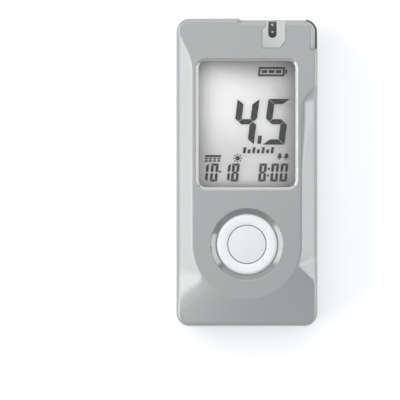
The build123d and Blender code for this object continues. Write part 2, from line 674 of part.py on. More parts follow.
def case_screws():
    head_top = SCREW_SEAT - GAP
    head_low = head_top - SCREW_HEAD_T
    head = fillet(post(0, 0, SCREW_HEAD_R, head_low, head_top).faces().sort_by(Axis.Z)[0].edges(), 0.4)
    recess = cross_recess(head_low - PAST, head_low + SCREW_HEAD_T / 2)
    screw = head + post(0, 0, SCREW_R, head_top, SCREW_TIP) - recess
    return Compound([Pos(x, y, 0) * screw for x, y in SCREWS])


def board_screws():
    head_top = BOARD_TOP + BOARD_SCREW_HEAD_T
    head = fillet(post(0, 0, BOARD_SCREW_HEAD_R, BOARD_TOP, head_top).faces().sort_by(Axis.Z)[-1].edges(), 0.3)
    shank = post(0, 0, BOARD_SCREW_R, BOARD_BOTTOM - BOARD_SCREW_REACH, BOARD_TOP)
    screw = head + shank - cross_recess(head_top - BOARD_SCREW_HEAD_T / 2, head_top + PAST)
    return Compound([Pos(x, y, 0) * screw for x, y in POSTS])


def data_jack():
    half = JACK_SIDE / 2
    body = block(
        JACK_FACE - JACK_LENGTH, JACK_FACE, JACK_Y - half, JACK_Y + half, JACK_Z - half, JACK_Z + half
    )
    nose = Pos(JACK_FACE + JACK_NOSE / 2, JACK_Y, JACK_Z) * Rot(0, 90, 0) * Cylinder(JACK_NOSE_R, JACK_NOSE)
    bore_middle = JACK_FACE + JACK_NOSE - JACK_BORE_LENGTH / 2
    bore = Pos(bore_middle, JACK_Y, JACK_Z) * Rot(0, 90, 0) * Cylinder(JACK_BORE_R, JACK_BORE_LENGTH)
    return body + nose - bore


def port_flap():
    strip = flap_zone(0, FLAP_LOW, FLAP_TOP) & (slab(GAP, 0, TOP) - slab(GAP + FLAP_T, 0, TOP))
    neck = block(HINGE_X + FLAP_BACK, WIDTH / 2 - GAP, HINGE_Y, FLAP_Y + FLAP_BACK, FLAP_LOW, BARREL_TOP)
    barrel = post(HINGE_X, HINGE_Y, BARREL_R, FLAP_LOW, BARREL_TOP)
    pivots = post(HINGE_X, HINGE_Y, PIVOT_R, FLAP_LOW - PIVOT_REACH, BARREL_TOP + PIVOT_REACH)
    inner = WIDTH / 2 - GAP - FLAP_T
    stopper_x = inner - STOPPER_T / 2 + FLAP_BACK
    stopper = Pos(stopper_x, JACK_Y, JACK_Z) * Rot(0, 90, 0) * Cylinder(STOPPER_R, STOPPER_T)
    return strip + neck + barrel + pivots + stopper


def end_trim():
    front = LENGTH / 2 - TRIM_SET_BACK
    return block(TRIM_FROM, TRIM_TO, front - TRIM_T, front, TRIM_LOW, TRIM_TOP)


PARTS = {
    "front_cover": front_cover,
    "rear_cover": rear_cover,
    "battery_door": battery_door,
    "display_lens": display_lens,
    "lens_adhesive": lens_adhesive,
    "lcd_front_glass": lcd_front_glass,
    "lcd_rear_glass": lcd_rear_glass,
    "lcd_reflector": lcd_reflector,
    "lcd_holder": lcd_holder,
    "zebra_strip": zebra_strip,
    "main_board": main_board,
    "controller_chip": controller_chip,
    "memory_chip": memory_chip,
    "board_components": board_components,
    "buzzer": buzzer,
    "strip_port_guide": strip_port_guide,
    "strip_connector": strip_connector,
    "strip_contacts": strip_contacts,
    "button_ring": button_ring,
    "button_key": button_key,
    "switch_body": switch_body,
    "switch_plunger": switch_plunger,
    "battery_left": lambda: cell(-CELL_X, True),
    "battery_right": lambda: cell(CELL_X, False),
    "battery_springs": battery_springs,
    "battery_plates": battery_plates,
    "case_screws": case_screws,
    "board_screws": board_screws,
    "data_jack": data_jack,
    "port_flap": port_flap,
    "end_trim": end_trim,
}


def main():
    os.makedirs("parts", exist_ok=True)
    for name, make in PARTS.items():
        shape = make()
        solids = shape.solids()
        print(f"{name}: {len(solids)} solid(s), {shape.volume:.1f} mm3")
        export_step(shape, f"parts/{name}.step")


main()
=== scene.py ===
# %% [markdown]
# # A pocket glucose meter, dressed in Blender
# The meter lies on its back on a pale table and we look straight down at it. Its mechanical pieces come
# from a finished CAD model, which is loaded as a fixed frame. What Blender adds is how things look: the
# finish of every surface, the softly sculpted front cover, the liquid crystal display with its digits,
# and the light. The frame is in metres. +Z comes out of the display and +Y points to the end that takes
# the test strip.

# %% Load the frame
import json
from math import cos, hypot, pi, radians, sin, tan

import bmesh
import bpy
import numpy as np
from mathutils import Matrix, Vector
from mathutils.geometry import delaunay_2d_cdt, tessellate_polygon
from mathutils.kdtree import KDTree


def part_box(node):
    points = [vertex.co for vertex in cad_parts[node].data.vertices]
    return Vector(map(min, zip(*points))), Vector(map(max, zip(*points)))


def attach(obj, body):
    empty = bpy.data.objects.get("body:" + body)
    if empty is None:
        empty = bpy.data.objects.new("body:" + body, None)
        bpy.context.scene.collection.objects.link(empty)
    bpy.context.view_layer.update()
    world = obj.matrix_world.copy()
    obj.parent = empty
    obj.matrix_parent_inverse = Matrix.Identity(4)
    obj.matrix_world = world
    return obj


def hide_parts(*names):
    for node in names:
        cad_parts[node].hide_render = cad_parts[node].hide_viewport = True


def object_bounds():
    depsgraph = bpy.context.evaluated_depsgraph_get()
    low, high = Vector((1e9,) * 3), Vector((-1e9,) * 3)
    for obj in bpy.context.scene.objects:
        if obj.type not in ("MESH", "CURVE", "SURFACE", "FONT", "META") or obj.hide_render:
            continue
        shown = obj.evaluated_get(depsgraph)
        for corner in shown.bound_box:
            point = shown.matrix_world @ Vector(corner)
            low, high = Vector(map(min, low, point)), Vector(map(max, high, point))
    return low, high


MM = 0.001
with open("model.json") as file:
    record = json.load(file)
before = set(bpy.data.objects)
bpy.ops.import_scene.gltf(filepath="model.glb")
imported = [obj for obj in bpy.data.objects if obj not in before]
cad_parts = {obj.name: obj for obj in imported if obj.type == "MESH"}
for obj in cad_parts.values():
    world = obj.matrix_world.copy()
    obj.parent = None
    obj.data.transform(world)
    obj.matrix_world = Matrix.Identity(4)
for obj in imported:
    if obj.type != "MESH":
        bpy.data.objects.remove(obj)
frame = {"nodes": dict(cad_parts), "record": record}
cad_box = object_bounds()
nodes = frame["nodes"]
cad_size = cad_box[1] - cad_box[0]
print("the frame has", len(nodes), "pieces in a box of", [round(v / MM, 1) for v in cad_size], "mm")

# %% [markdown]
# ## The camera
# A small object looks truest through a long lens from far away, because the sides of its case then don't
# lean outwards. We hang the camera one and a half metres above the face of the meter and give it a lens
# that takes in a square of about 123 mm there. The meter sits right of the middle of that square, which
# leaves room for something beside it.

# %% Hang the camera
scene = bpy.context.scene
FACE_Z = 21.0 * MM
VIEW_WIDTH = 123.4 * MM
VIEW_CENTRE = (-14.5 * MM, -8.5 * MM)
CAMERA_RISE = 1.5
SENSOR_WIDTH = 36.0  # in millimetres, as lenses are measured
NEAREST, FARTHEST = 0.05, 20.0

camera_data = bpy.data.cameras.new("camera")
camera_data.sensor_width = SENSOR_WIDTH
camera_data.lens = SENSOR_WIDTH * CAMERA_RISE / VIEW_WIDTH
camera_data.clip_start, camera_data.clip_end = NEAREST, FARTHEST
camera = bpy.data.objects.new("camera", camera_data)
camera.location = (*VIEW_CENTRE, FACE_Z + CAMERA_RISE)
scene.collection.objects.link(camera)
scene.camera = camera
print("lens", round(camera_data.lens), "mm")

# %% [markdown]
# ## The table and the light
# White paper lies under the meter, and nine soft lamps stand round it. Two on each side, one low and one
# higher, do most of the work: whatever leans to the left or right turns bright, and the flat middle stays
# calm. The left side is stronger than the right, which gives the shadow on the right. A weaker lamp hangs
# almost overhead, a little to the upper left. The satin lacquer scatters its reflection, which gives a
# sheen that fades towards the lower right, while the window, whose surface reflects very little, stays
# clear. Of the two lamps at the strip end the low one draws the thin bright line on the lower edge of the
# window. The lower end has only two faint fills, so every surface that leans that way turns darker, and
# that is what makes the sculpted shape readable.

# %% Lay the table
def flat_sheet(name, half, z):
    mesh = bpy.data.meshes.new(name)
    corners = [(-half, -half, z), (half, -half, z), (half, half, z), (-half, half, z)]
    mesh.from_pydata(corners, [], [(0, 1, 2, 3)])
    sheet = bpy.data.objects.new(name, mesh)
    scene.collection.objects.link(sheet)
    return sheet


TABLE_HALF = 6.0
table = flat_sheet("table", TABLE_HALF, 0.0)
scene.view_settings.view_transform = "Standard"
print("the table is", 2 * TABLE_HALF, "m wide")


# %% Set up the lamps
def softbox(name, azimuth, elevation, distance, width, height, radiance):
    """Soft rectangular lamp aimed at the meter; azimuth 0 is +X and 90 is +Y."""
    a, e = radians(azimuth), radians(elevation)
    lamp_data = bpy.data.lights.new(name, "AREA")
    lamp_data.shape = "RECTANGLE"
    lamp_data.size, lamp_data.size_y = width, height
    lamp_data.energy = radiance * pi * width * height
    lamp = bpy.data.objects.new(name, lamp_data)
    place = Vector((cos(a) * cos(e), sin(a) * cos(e), sin(e))) * distance
    lamp.location = place
    lamp.rotation_euler = place.to_track_quat("Z", "Y").to_euler()
    lamp.visible_camera = False
    scene.collection.objects.link(lamp)
    print(name, round(lamp_data.energy, 2), "W")
    return lamp


# azimuth and elevation in degrees, distance, width and height in metres, and radiance
LAMPS = {
    "overhead_light": (139, 76, 0.5, 0.67, 0.33, 0.78),
    "strip_end_high_light": (90, 48, 0.75, 1.0, 0.5, 0.58),
    "strip_end_low_light": (90, 22, 0.6, 0.9, 0.22, 1.2),
    "lower_end_high_fill": (-90, 62, 0.7, 0.9, 0.38, 0.3),
    "lower_end_low_fill": (-90, 18, 0.6, 0.9, 0.2, 0.4),
    "left_low_light": (180, 18, 0.6, 0.9, 0.22, 1.6),
    "left_high_light": (180, 38, 0.6, 0.9, 0.22, 2.5),
    "right_low_light": (0, 18, 0.6, 0.9, 0.22, 1.35),
    "right_high_light": (5, 38, 0.6, 0.42, 0.22, 1.9),
}
for name, setting in LAMPS.items():
    softbox(name, *setting)

# %% Fill the room with faint light
ROOM_LIGHT = 0.47
world = bpy.data.worlds.new("studio")
world.use_nodes = True
scene.world = world
room = world.node_tree.nodes["Background"].inputs
room["Color"].default_value = (0.97, 0.98, 1.0, 1.0)
room["Strength"].default_value = ROOM_LIGHT
print("the room glows with strength", ROOM_LIGHT)


# %% [markdown]
# ## The front cover
# The real cover is injection moulded from silver grey plastic. Its middle is flat, with a round lower
# end. Each side has a long scoop for the fingers, the lower end slopes away like a very flat cone, and
# every edge is soft. A shape like this could be a subdivision surface, but then the flat middle and its
# exact round end would have to be held by many support loops. The cover has one height at every point
# seen from above, so it is simpler to write that height as a formula, put points where the shape needs
# them, and join them into triangles. The formula also tells the exact direction of the surface at each
# point, so the shading is as smooth as the formula itself. Two smooth steps are all it takes: a minimum
# that rounds an outer edge, and a maximum that rounds an inner one.

# %% Rounded minimum and maximum
def smooth_min(a, b, width):
    return np.minimum(a, b) - np.maximum(width - np.abs(a - b), 0) ** 2 / (4 * width)


def smooth_max(a, b, width):
    return -smooth_min(-a, -b, width)


def ramp(v, start, end):
    """0 before start, 1 after end and a smooth rise between them."""
    t = np.clip((v - start) / (end - start), 0, 1)
    return t * t * (3 - 2 * t)


print("the smooth minimum of 1.0 and 1.1 over a width of 0.4 is", smooth_min(1.0, 1.1, 0.4).round(3))

# %% Driving sizes of the cover, in millimetres
cover_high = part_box("front_cover")[1]
HALF_WIDTH, HALF_LENGTH = cover_high.x / MM, cover_high.y / MM
TOP = FACE_Z / MM
CORNER = 4.0
KEY_Y = -22.2
FLAT_HALF = 16.85  # half width of the flat face, and radius of its lower end
RIM_RADIUS = 1.2
LEDGE = 14.0  # the cover stands on the rear cover at this height
WINDOW_HALF = (14.95, 19.48)
WINDOW_Y = 14.93
WINDOW_CORNER = 2.3
WINDOW_BEVEL, WINDOW_DROP = 0.8, 0.56  # width of the bevelled frame, and how far it goes down
DISH_RADIUS, DISH_FLOOR_RADIUS, HOLE_RADIUS = 11.2, 9.4, 9.35
DISH_FLOOR = 20.16
LENS_SEAT = 19.85
print("the cover is", round(2 * HALF_WIDTH, 1), "by", round(2 * HALF_LENGTH, 1), "mm")


# %% Distances seen from the front
def rounded_box(x, y, half_x, half_y, corner):
    """Distance outside a rounded rectangle, negative inside it."""
    qx, qy = np.abs(x) - (half_x - corner), np.abs(y) - (half_y - corner)
    return np.hypot(np.maximum(qx, 0), np.maximum(qy, 0)) + np.minimum(np.maximum(qx, qy), 0) - corner


TRIM_BACK, TRIM_START = 46.7, -2.25  # the cover stands back behind the pale trim at the strip end
FLAP_BACK, FLAP_START = 1.15, (18.05, 38.25)  # and round the corner that the flap covers


def inside_outline(x, y):
    """Distance to the cover's outline, positive inside it."""
    plain = -rounded_box(x, y, HALF_WIDTH, HALF_LENGTH, CORNER)
    trim = np.hypot(np.maximum(TRIM_START - x, 0), np.maximum(TRIM_BACK - y, 0))
    trim = np.where((x > TRIM_START) & (y > TRIM_BACK), -1.0, trim)
    beside = np.maximum(np.maximum(FLAP_START[0] - x, FLAP_START[1] - y), 0)
    within = plain - FLAP_BACK
    flap = np.where((beside == 0) & (within < 0), -1.0, np.hypot(beside, np.maximum(within, 0)))
    return np.minimum(plain, np.minimum(trim, flap))


def core_distance(x, y):
    """Distance outside the flat face's straight sides and round lower end."""
    return np.hypot(x, np.minimum(y - KEY_Y, 0)) - FLAT_HALF


# %% The height of the lower end
def fall(slope):
    """How far a slope given in degrees falls over one millimetre."""
    return tan(radians(slope))


SKIRT_FALL = fall(10)
SKIRT_EASE = 6.0  # the cone begins softly over this stretch beside the key
CLEAR = 0.3  # higher up it stays this far above the flat face, and out of the way


def skirt_height(x, y):
    """The lower end falls away from the round end of the flat face as a flat cone."""
    outside = np.hypot(x, y - KEY_Y) - FLAT_HALF
    lower = ramp(-y, -KEY_Y - SKIRT_EASE, -KEY_Y)
    return TOP + CLEAR * (1 - lower) - outside * SKIRT_FALL * lower


print("the lower end falls", round(SKIRT_FALL, 3), "mm over each millimetre")


# %% The height of the side scoops
def falling_plane(x, y, line, levels, slope, heading):
    """A plane through a line between two points, falling at the slope towards the heading."""
    (x0, y0), (x1, y1) = line
    length = hypot(x1 - x0, y1 - y0)
    along = ((x1 - x0) / length, (y1 - y0) / length)
    across = (along[1], -along[0])
    if across[0] * heading[0] + across[1] * heading[1] < 0:
        across = (-across[0], -across[1])
    run = (x - x0) * along[0] + (y - y0) * along[1]
    drop = ((x - x0) * across[0] + (y - y0) * across[1]) * fall(slope)
    return levels[0] + (levels[1] - levels[0]) * run / length - drop


def closed_scoop(x, y, side, top, end, outward):
    """The side slope of a scoop, closed by a falling plane at its top and by another at its lower end."""
    top_plane = falling_plane(x, y, top["line"], (TOP, TOP), top["slope"], (outward, -1))
    end_levels = [float(skirt_height(*point)) for point in end["line"]]
    end_plane = falling_plane(x, y, end["line"], end_levels, end["slope"], (outward, 1))
    return smooth_max(smooth_max(side, top_plane, top["blend"]), end_plane, end["blend"])


# for each end of a scoop: the line where it meets the front, its slope, and how softly it meets the side
LEFT_TOP = dict(line=((-20.35, 41.7), (-17.3, 35.25)), slope=35, blend=0.9)
LEFT_END = dict(line=((-13.6, -33.5), (-21.3, -40.9)), slope=28, blend=1.3)
RIGHT_TOP = dict(line=((20.5, 25.8), (17.6, 22.3)), slope=34, blend=0.7)
RIGHT_END = dict(line=((16.0, -29.0), (21.3, -34.1)), slope=26, blend=0.25)

SIDE_FALL = fall(35)
GENTLE_FALL = fall(13)  # beside the display the right scoop begins gently, over a reach that grows upwards
REACH_LEAST, REACH_GROWTH, REACH_UNIT, REACH_TOP, REACH_POWER = 0.3, 2.6, 13.5, 16, 1.6


def left_scoop(x, y):
    side = TOP - core_distance(x, y) * SIDE_FALL
    return closed_scoop(x, y, side, LEFT_TOP, LEFT_END, -1)


def right_scoop(x, y):
    d = core_distance(x, y)
    reach = REACH_LEAST + REACH_GROWTH * (np.clip(y, 0, REACH_TOP) / REACH_UNIT) ** REACH_POWER
    eased = np.where(d < reach, d - d * d / (2 * reach), reach / 2)
    eased = np.where(d < 0, d, eased)
    side = TOP - d * SIDE_FALL + (SIDE_FALL - GENTLE_FALL) * eased
    return closed_scoop(x, y, side, RIGHT_TOP, RIGHT_END, 1)


print("the scoops fall", round(SIDE_FALL, 2), "mm over each millimetre")


# %% The height of the whole front
# how wide each rounded crease is
FACE_CREASE, LEFT_CREASE, RIGHT_CREASE, WINDOW_CREASE, DISH_CREASE = 0.05, 0.22, 0.2, 0.1, 0.06
LEFT_END_CREASE = 1.25  # the left one gets this much wider towards the lower end
LEFT_WIDENS_FROM, LEFT_WIDENS_TO = -31, -37


def body_height(x, y):
    """Height of the front before its rim is rounded."""
    base = smooth_min(skirt_height(x, y), np.full_like(x, TOP), FACE_CREASE)
    left_crease = LEFT_CREASE + LEFT_END_CREASE * ramp(-y, -LEFT_WIDENS_FROM, -LEFT_WIDENS_TO)
    left = smooth_min(base, left_scoop(x, y), left_crease)
    scooped = np.where(x < 0, left, smooth_min(base, right_scoop(x, y), RIGHT_CREASE))
    outside_window = rounded_box(x, y - WINDOW_Y, *WINDOW_HALF, WINDOW_CORNER)
    bevel = TOP + (outside_window / WINDOW_BEVEL - 1) * WINDOW_DROP
    from_key = np.hypot(x, y - KEY_Y)
    dish = TOP - (DISH_RADIUS - from_key) * (TOP - DISH_FLOOR) / (DISH_RADIUS - DISH_FLOOR_RADIUS)
    dish = np.maximum(dish, DISH_FLOOR)
    return smooth_min(smooth_min(scooped, bevel, WINDOW_CREASE), dish, DISH_CREASE)


def rim_drop(inside):
    """How far the rounded rim lies below the body height."""
    s = np.clip(1 - inside / RIM_RADIUS, 0, 1)
    return RIM_RADIUS * (1 - np.sqrt(1 - s * s))


def front_height(x, y):
    return body_height(x, y) - rim_drop(inside_outline(x, y))


def height_at(x, y):
    """Height of the front at one point."""
    return float(front_height(np.array([x]), np.array([y]))[0])


ON_FACE, IN_SCOOP = -16.3, -20.0
for spot, x in (("flat face", ON_FACE), ("left scoop", IN_SCOOP)):
    print("height of the", spot, "beside the display:", round(height_at(x, WINDOW_Y), 2), "mm")


# %% The direction of the surface
STEP = 0.004
INSET = 0.9999  # moves a point of the outline a hair inwards, where the slopes are defined
STEEPEST = 0.9998


def slope_of(field, x, y):
    return (
        (field(x + STEP, y) - field(x - STEP, y)) / (2 * STEP),
        (field(x, y + STEP) - field(x, y - STEP)) / (2 * STEP),
    )


def front_normals(x, y):
    """Unit normals of the front, exact right up to the rim."""
    gx, gy = slope_of(body_height, x, y)
    inside = inside_outline(x, y)
    tx, ty = slope_of(inside_outline, np.where(inside < STEP, x * INSET, x), y)
    s = np.clip(1 - inside / RIM_RADIUS, 0, STEEPEST)
    steep = s / np.sqrt(1 - s * s)
    normals = np.stack([-(gx + tx * steep), -(gy + ty * steep), np.ones_like(x)], axis=1)
    return normals / np.linalg.norm(normals, axis=1, keepdims=True)


scoop_normal = front_normals(np.array([IN_SCOOP]), np.array([WINDOW_Y]))[0]
print("the left scoop faces", scoop_normal.round(2))


# %% [markdown]
# The points come in families: closed loops that follow the outline, the window, the dish and the creases
# closely, and a plain grid over everything else. Triangles are then drawn between them, with the outline,
# the window opening and the key hole as fixed edges.

# %% Points of the front
def arc(cx, cy, radius, start, end, count):
    angles = [radians(start + (end - start) * k / count) for k in range(count + 1)]
    return [(cx + radius * cos(a), cy + radius * sin(a)) for a in angles]


def spaced(points, step):
    """Adds points along the straight stretches of a closed loop so that none is longer than the step."""
    loop = []
    for (x0, y0), (x1, y1) in zip(points, points[1:] + points[:1]):
        count = max(1, int(np.ceil(hypot(x1 - x0, y1 - y0) / step)))
        loop += [(x0 + (x1 - x0) * k / count, y0 + (y1 - y0) * k / count) for k in range(count)]
    return loop


POINT_STEP, CORNER_POINTS = 0.6, 10
CORNERS = ((1, 1, 0), (-1, 1, 90), (-1, -1, 180), (1, -1, 270))  # sides in x and y, and the arc's start



def rounded_loop(half_x, half_y, corner, cy=0.0):
    loop = []
    for sx, sy, start in CORNERS:
        centre = (sx * (half_x - corner), cy + sy * (half_y - corner))
        loop += arc(*centre, corner, start, start + 90, CORNER_POINTS)
    return spaced(loop, POINT_STEP)


FLAP_POINTS = 8


def cover_outline():
    """The cover's outline with its set-backs, anticlockwise from the right side."""
    right, top = HALF_WIDTH, HALF_LENGTH
    back = CORNER - FLAP_BACK
    loop = [(right, FLAP_START[1]), (right - FLAP_BACK, FLAP_START[1])]
    loop += [p for p in arc(right - CORNER, top - CORNER, back, 0, 90, FLAP_POINTS) if p[0] > FLAP_START[0]]
    loop += [(FLAP_START[0], top - FLAP_BACK), (FLAP_START[0], TRIM_BACK)]
    loop += [(TRIM_START, TRIM_BACK), (TRIM_START, top)]
    for sx, sy, start in CORNERS[1:]:
        centre = (sx * (right - CORNER), sy * (top - CORNER))
        loop += arc(*centre, CORNER, start, start + 90, CORNER_POINTS)
    return spaced(loop, POINT_STEP)


SHARPEST = 0.5  # keeps a sharp corner from shooting inwards


def inward(loop, distance):
    """The loop moved to its left, which is inwards where it runs anticlockwise."""
    moved = []
    for before, here, after in zip(loop[-1:] + loop[:-1], loop, loop[1:] + loop[:1]):
        first = Vector((before[1] - here[1], here[0] - before[0])).normalized()
        second = Vector((here[1] - after[1], after[0] - here[0])).normalized()
        bisector = (first + second).normalized()
        reach = distance / max(SHARPEST, bisector.dot(first))
        moved.append((here[0] + bisector.x * reach, here[1] + bisector.y * reach))
    return moved


outline = cover_outline()
window_loop = rounded_loop(*WINDOW_HALF, WINDOW_CORNER, WINDOW_Y)
HOLE_POINTS = 96
hole_loop = arc(0, KEY_Y, HOLE_RADIUS, 0, 360, HOLE_POINTS)[:-1]
print("the outline has", len(outline), "points")

# %% Families of points
RIM_SHARES = (0.02, 0.08, 0.2, 0.38, 0.62, 1.0)  # parts of the rim's radius
WINDOW_RINGS = (0.06, 0.4, 0.68, 0.75, 0.8, 0.85, 0.95, 1.15)  # distances outside the opening
DISH_RINGS = (9.6, 10.0, 10.5, 10.95, 11.08, 11.2, 11.32, 11.5)  # radii round the key
CREASE_RINGS = (-0.3, -0.12, 0.04, 0.2, 0.42)  # distances outside the flat face
DISH_POINTS, END_POINTS = 110, 90
SIDE_STEP, SIDE_POINTS = 0.5, 117
NEAR_RING = 0.02  # a moved point counts only if it is this close to its ring

families = []
for share in RIM_SHARES:
    ring = inward(outline, share * RIM_RADIUS)
    families += [p for p in ring if abs(inside_outline(*np.array(p)) - share * RIM_RADIUS) < NEAR_RING]
for away in WINDOW_RINGS:
    families += rounded_loop(WINDOW_HALF[0] + away, WINDOW_HALF[1] + away, WINDOW_CORNER + away, WINDOW_Y)
for radius in DISH_RINGS:
    families += arc(0, KEY_Y, radius, 0, 360, DISH_POINTS)[:-1]
for away in CREASE_RINGS:
    radius = FLAT_HALF + away
    families += arc(0, KEY_Y, radius, 180, 360, END_POINTS)
    side_heights = [KEY_Y + k * SIDE_STEP for k in range(1, SIDE_POINTS + 1)]
    families += [(side * radius, y) for side in (-1, 1) for y in side_heights]
print("the families have", len(families), "points")

# %% A grid over everything else
GRID = 0.55
GRID_FROM_RIM = 0.15
LEAST_SPACE = 0.45  # of the grid's pitch, between a grid point and a family
special = KDTree(len(families))
for index, point in enumerate(families):
    special.insert((*point, 0), index)
special.balance()
columns = np.arange(-HALF_WIDTH + RIM_RADIUS, HALF_WIDTH - RIM_RADIUS, GRID)
rows = np.arange(-HALF_LENGTH + RIM_RADIUS, HALF_LENGTH - RIM_RADIUS, GRID)
grid = np.stack(np.meshgrid(columns, rows), axis=-1).reshape(-1, 2)
grid = grid[inside_outline(grid[:, 0], grid[:, 1]) > RIM_RADIUS + GRID_FROM_RIM]
families += [tuple(p) for p in grid.tolist() if special.find((*p, 0))[2] > GRID * LEAST_SPACE]
print("the front has", len(families), "inner points")


# %% Triangles of the front
def ring_edges(first, count):
    return [(first + k, first + (k + 1) % count) for k in range(count)]


SLIVER = 1e-5  # points in a row can give triangles without any area, which are left out
SAME_POINT = 1e-6


def front_triangles():
    loops = [outline, window_loop, hole_loop]
    points = [p for loop in loops for p in loop] + families
    edges, first = [], 0
    for loop in loops:
        edges += ring_edges(first, len(loop))
        first += len(loop)
    flat, _, faces, *_ = delaunay_2d_cdt([Vector(p) for p in points], edges, [], 0, SAME_POINT)
    plan = np.array([tuple(p) for p in flat])
    triangles = np.array(faces)
    centre = plan[triangles].mean(axis=1)
    keep = inside_outline(centre[:, 0], centre[:, 1]) > 0
    keep &= rounded_box(centre[:, 0], centre[:, 1] - WINDOW_Y, *WINDOW_HALF, WINDOW_CORNER) > 0
    keep &= np.hypot(centre[:, 0], centre[:, 1] - KEY_Y) > HOLE_RADIUS * cos(pi / HOLE_POINTS)
    first_side, second_side = (plan[triangles[:, k]] - plan[triangles[:, 0]] for k in (1, 2))
    keep &= np.abs(first_side[:, 0] * second_side[:, 1] - first_side[:, 1] * second_side[:, 0]) > SLIVER
    return plan, triangles[keep]


plan, triangles = front_triangles()
heights = front_height(plan[:, 0], plan[:, 1])
print("the front has", len(triangles), "triangles")
drawn_heights = heights[np.unique(triangles)]
print("its heights run from", drawn_heights.min().round(2), "to", drawn_heights.max().round(2), "mm")


# %% [markdown]
# A moulded cover is a shell, so the front also needs its inner side: a lip that reaches into the rear
# cover, walls 2.4 mm thick, a lower ceiling beside the display and a higher one under the flat face, and
# the seat of the lens. Each of these is a level plate or an upright wall between two loops, so the shell
# closes as a stack of them.

# %% Plates and walls
def add_wall(mesh, lower, upper):
    """Upright or sloping strip between two loops of 3-D points with as many points each."""
    a = [mesh.verts.new(p) for p in lower]
    b = [mesh.verts.new(p) for p in upper]
    for k in range(len(a)):
        n = (k + 1) % len(a)
        mesh.faces.new((a[k], a[n], b[n], b[k]))


def add_plate(mesh, outer, holes, z):
    """Level plate with holes, made of triangles."""
    loops = [[Vector((*p, z)) for p in loop] for loop in (outer, *holes)]
    points = [mesh.verts.new(p) for loop in loops for p in loop]
    for triangle in tessellate_polygon(loops):
        mesh.faces.new([points[k] for k in triangle])


def at(loop, z):
    return [(x, y, z) for x, y in loop]


def rectangle(half_x, low_y, high_y):
    return [(half_x, high_y), (-half_x, high_y), (-half_x, low_y), (half_x, low_y)]


# %% Levels and loops of the inner side
LIP_LOW, SIDE_CEILING, MID_CEILING = 12.8, 16.6, 19.0
PARTING = 0.15
LIP_INSET, WALL = 1.65, 2.4
INNER_STEP = 2.0
lip_outer, lip_inner = (
    rounded_loop(HALF_WIDTH - inset, HALF_LENGTH - inset, CORNER - inset) for inset in (LIP_INSET, WALL)
)
middle = spaced(rectangle(half_x=16.35, low_y=-36.0, high_y=44.8), INNER_STEP)
seat = spaced(rectangle(half_x=16.15, low_y=-5.95, high_y=36.05), INNER_STEP)
print("the lip is", round(WALL - LIP_INSET, 2), "mm thick")

# %% Stack the shell
MERGE_REACH = 0.004  # points closer than this become one, which sews the walls to the front


def on_front(loop):
    """The loop lifted onto the surface of the front."""
    return [(x, y, height_at(x, y)) for x, y in loop]


def build_cover():
    mesh = bmesh.new()
    front = [mesh.verts.new((x, y, z)) for (x, y), z in zip(plan, heights)]
    for triangle in triangles:
        mesh.faces.new([front[k] for k in triangle])
    tucked = inward(outline, PARTING)
    add_wall(mesh, at(outline, LEDGE + PARTING), on_front(outline))
    add_wall(mesh, at(tucked, LEDGE), at(outline, LEDGE + PARTING))
    add_plate(mesh, tucked, [lip_outer], LEDGE)
    add_wall(mesh, at(lip_outer, LIP_LOW), at(lip_outer, LEDGE))
    add_plate(mesh, lip_outer, [lip_inner], LIP_LOW)
    add_wall(mesh, at(lip_inner, LIP_LOW), at(lip_inner, SIDE_CEILING))
    add_plate(mesh, lip_inner, [middle], SIDE_CEILING)
    add_wall(mesh, at(middle, SIDE_CEILING), at(middle, MID_CEILING))
    add_plate(mesh, middle, [seat, hole_loop], MID_CEILING)
    add_wall(mesh, at(seat, MID_CEILING), at(seat, LENS_SEAT))
    add_plate(mesh, seat, [window_loop], LENS_SEAT)
    add_wall(mesh, at(window_loop, LENS_SEAT), on_front(window_loop))
    add_wall(mesh, at(hole_loop, MID_CEILING), on_front(hole_loop))
    bmesh.ops.remove_doubles(mesh, verts=mesh.verts, dist=MERGE_REACH)
    bmesh.ops.recalc_face_normals(mesh, faces=mesh.faces)
    open_edges = [edge for edge in mesh.edges if len(edge.link_faces) != 2]
    print("cover:", len(mesh.faces), "faces and", len(open_edges), "open edges")
    return mesh


def finish_mesh(mesh, name):
    """Turns millimetres into metres and makes an object."""
    bmesh.ops.scale(mesh, vec=(MM, MM, MM), verts=mesh.verts)
    data = bpy.data.meshes.new(name)
    mesh.to_mesh(data)
    mesh.free()
    made = bpy.data.objects.new(name, data)
    scene.collection.objects.link(made)
    return made


cover = finish_mesh(build_cover(), "sculpted_cover")


# %% [markdown]
# The strip port's pad sits in a bay at the strip end, with the slot for the strip below it. Each of the
# two is cut out of the finished shell with a boolean, as a cutter would cut it out of the mould's model.

# %% Cut the bay of the strip port
def prism(mesh, outline_points, z0, z1):
    """Closed upright prism over a polygon."""
    lower = [mesh.verts.new((x, y, z0)) for x, y in outline_points]
    upper = [mesh.verts.new((x, y, z1)) for x, y in outline_points]
    mesh.faces.new(lower)
    mesh.faces.new(upper)
    for k in range(len(lower)):
        n = (k + 1) % len(lower)
        mesh.faces.new((lower[k], lower[n], upper[n], upper[k]))


def cut(target, cutter):
    modifier = target.modifiers.new("cut", "BOOLEAN")
    modifier.operation, modifier.solver, modifier.object = "DIFFERENCE", "EXACT", cutter
    graph = bpy.context.evaluated_depsgraph_get()
    result = bpy.data.meshes.new_from_object(target.evaluated_get(graph))
    target.modifiers.remove(modifier)
    target.data = result
    bpy.data.objects.remove(cutter)


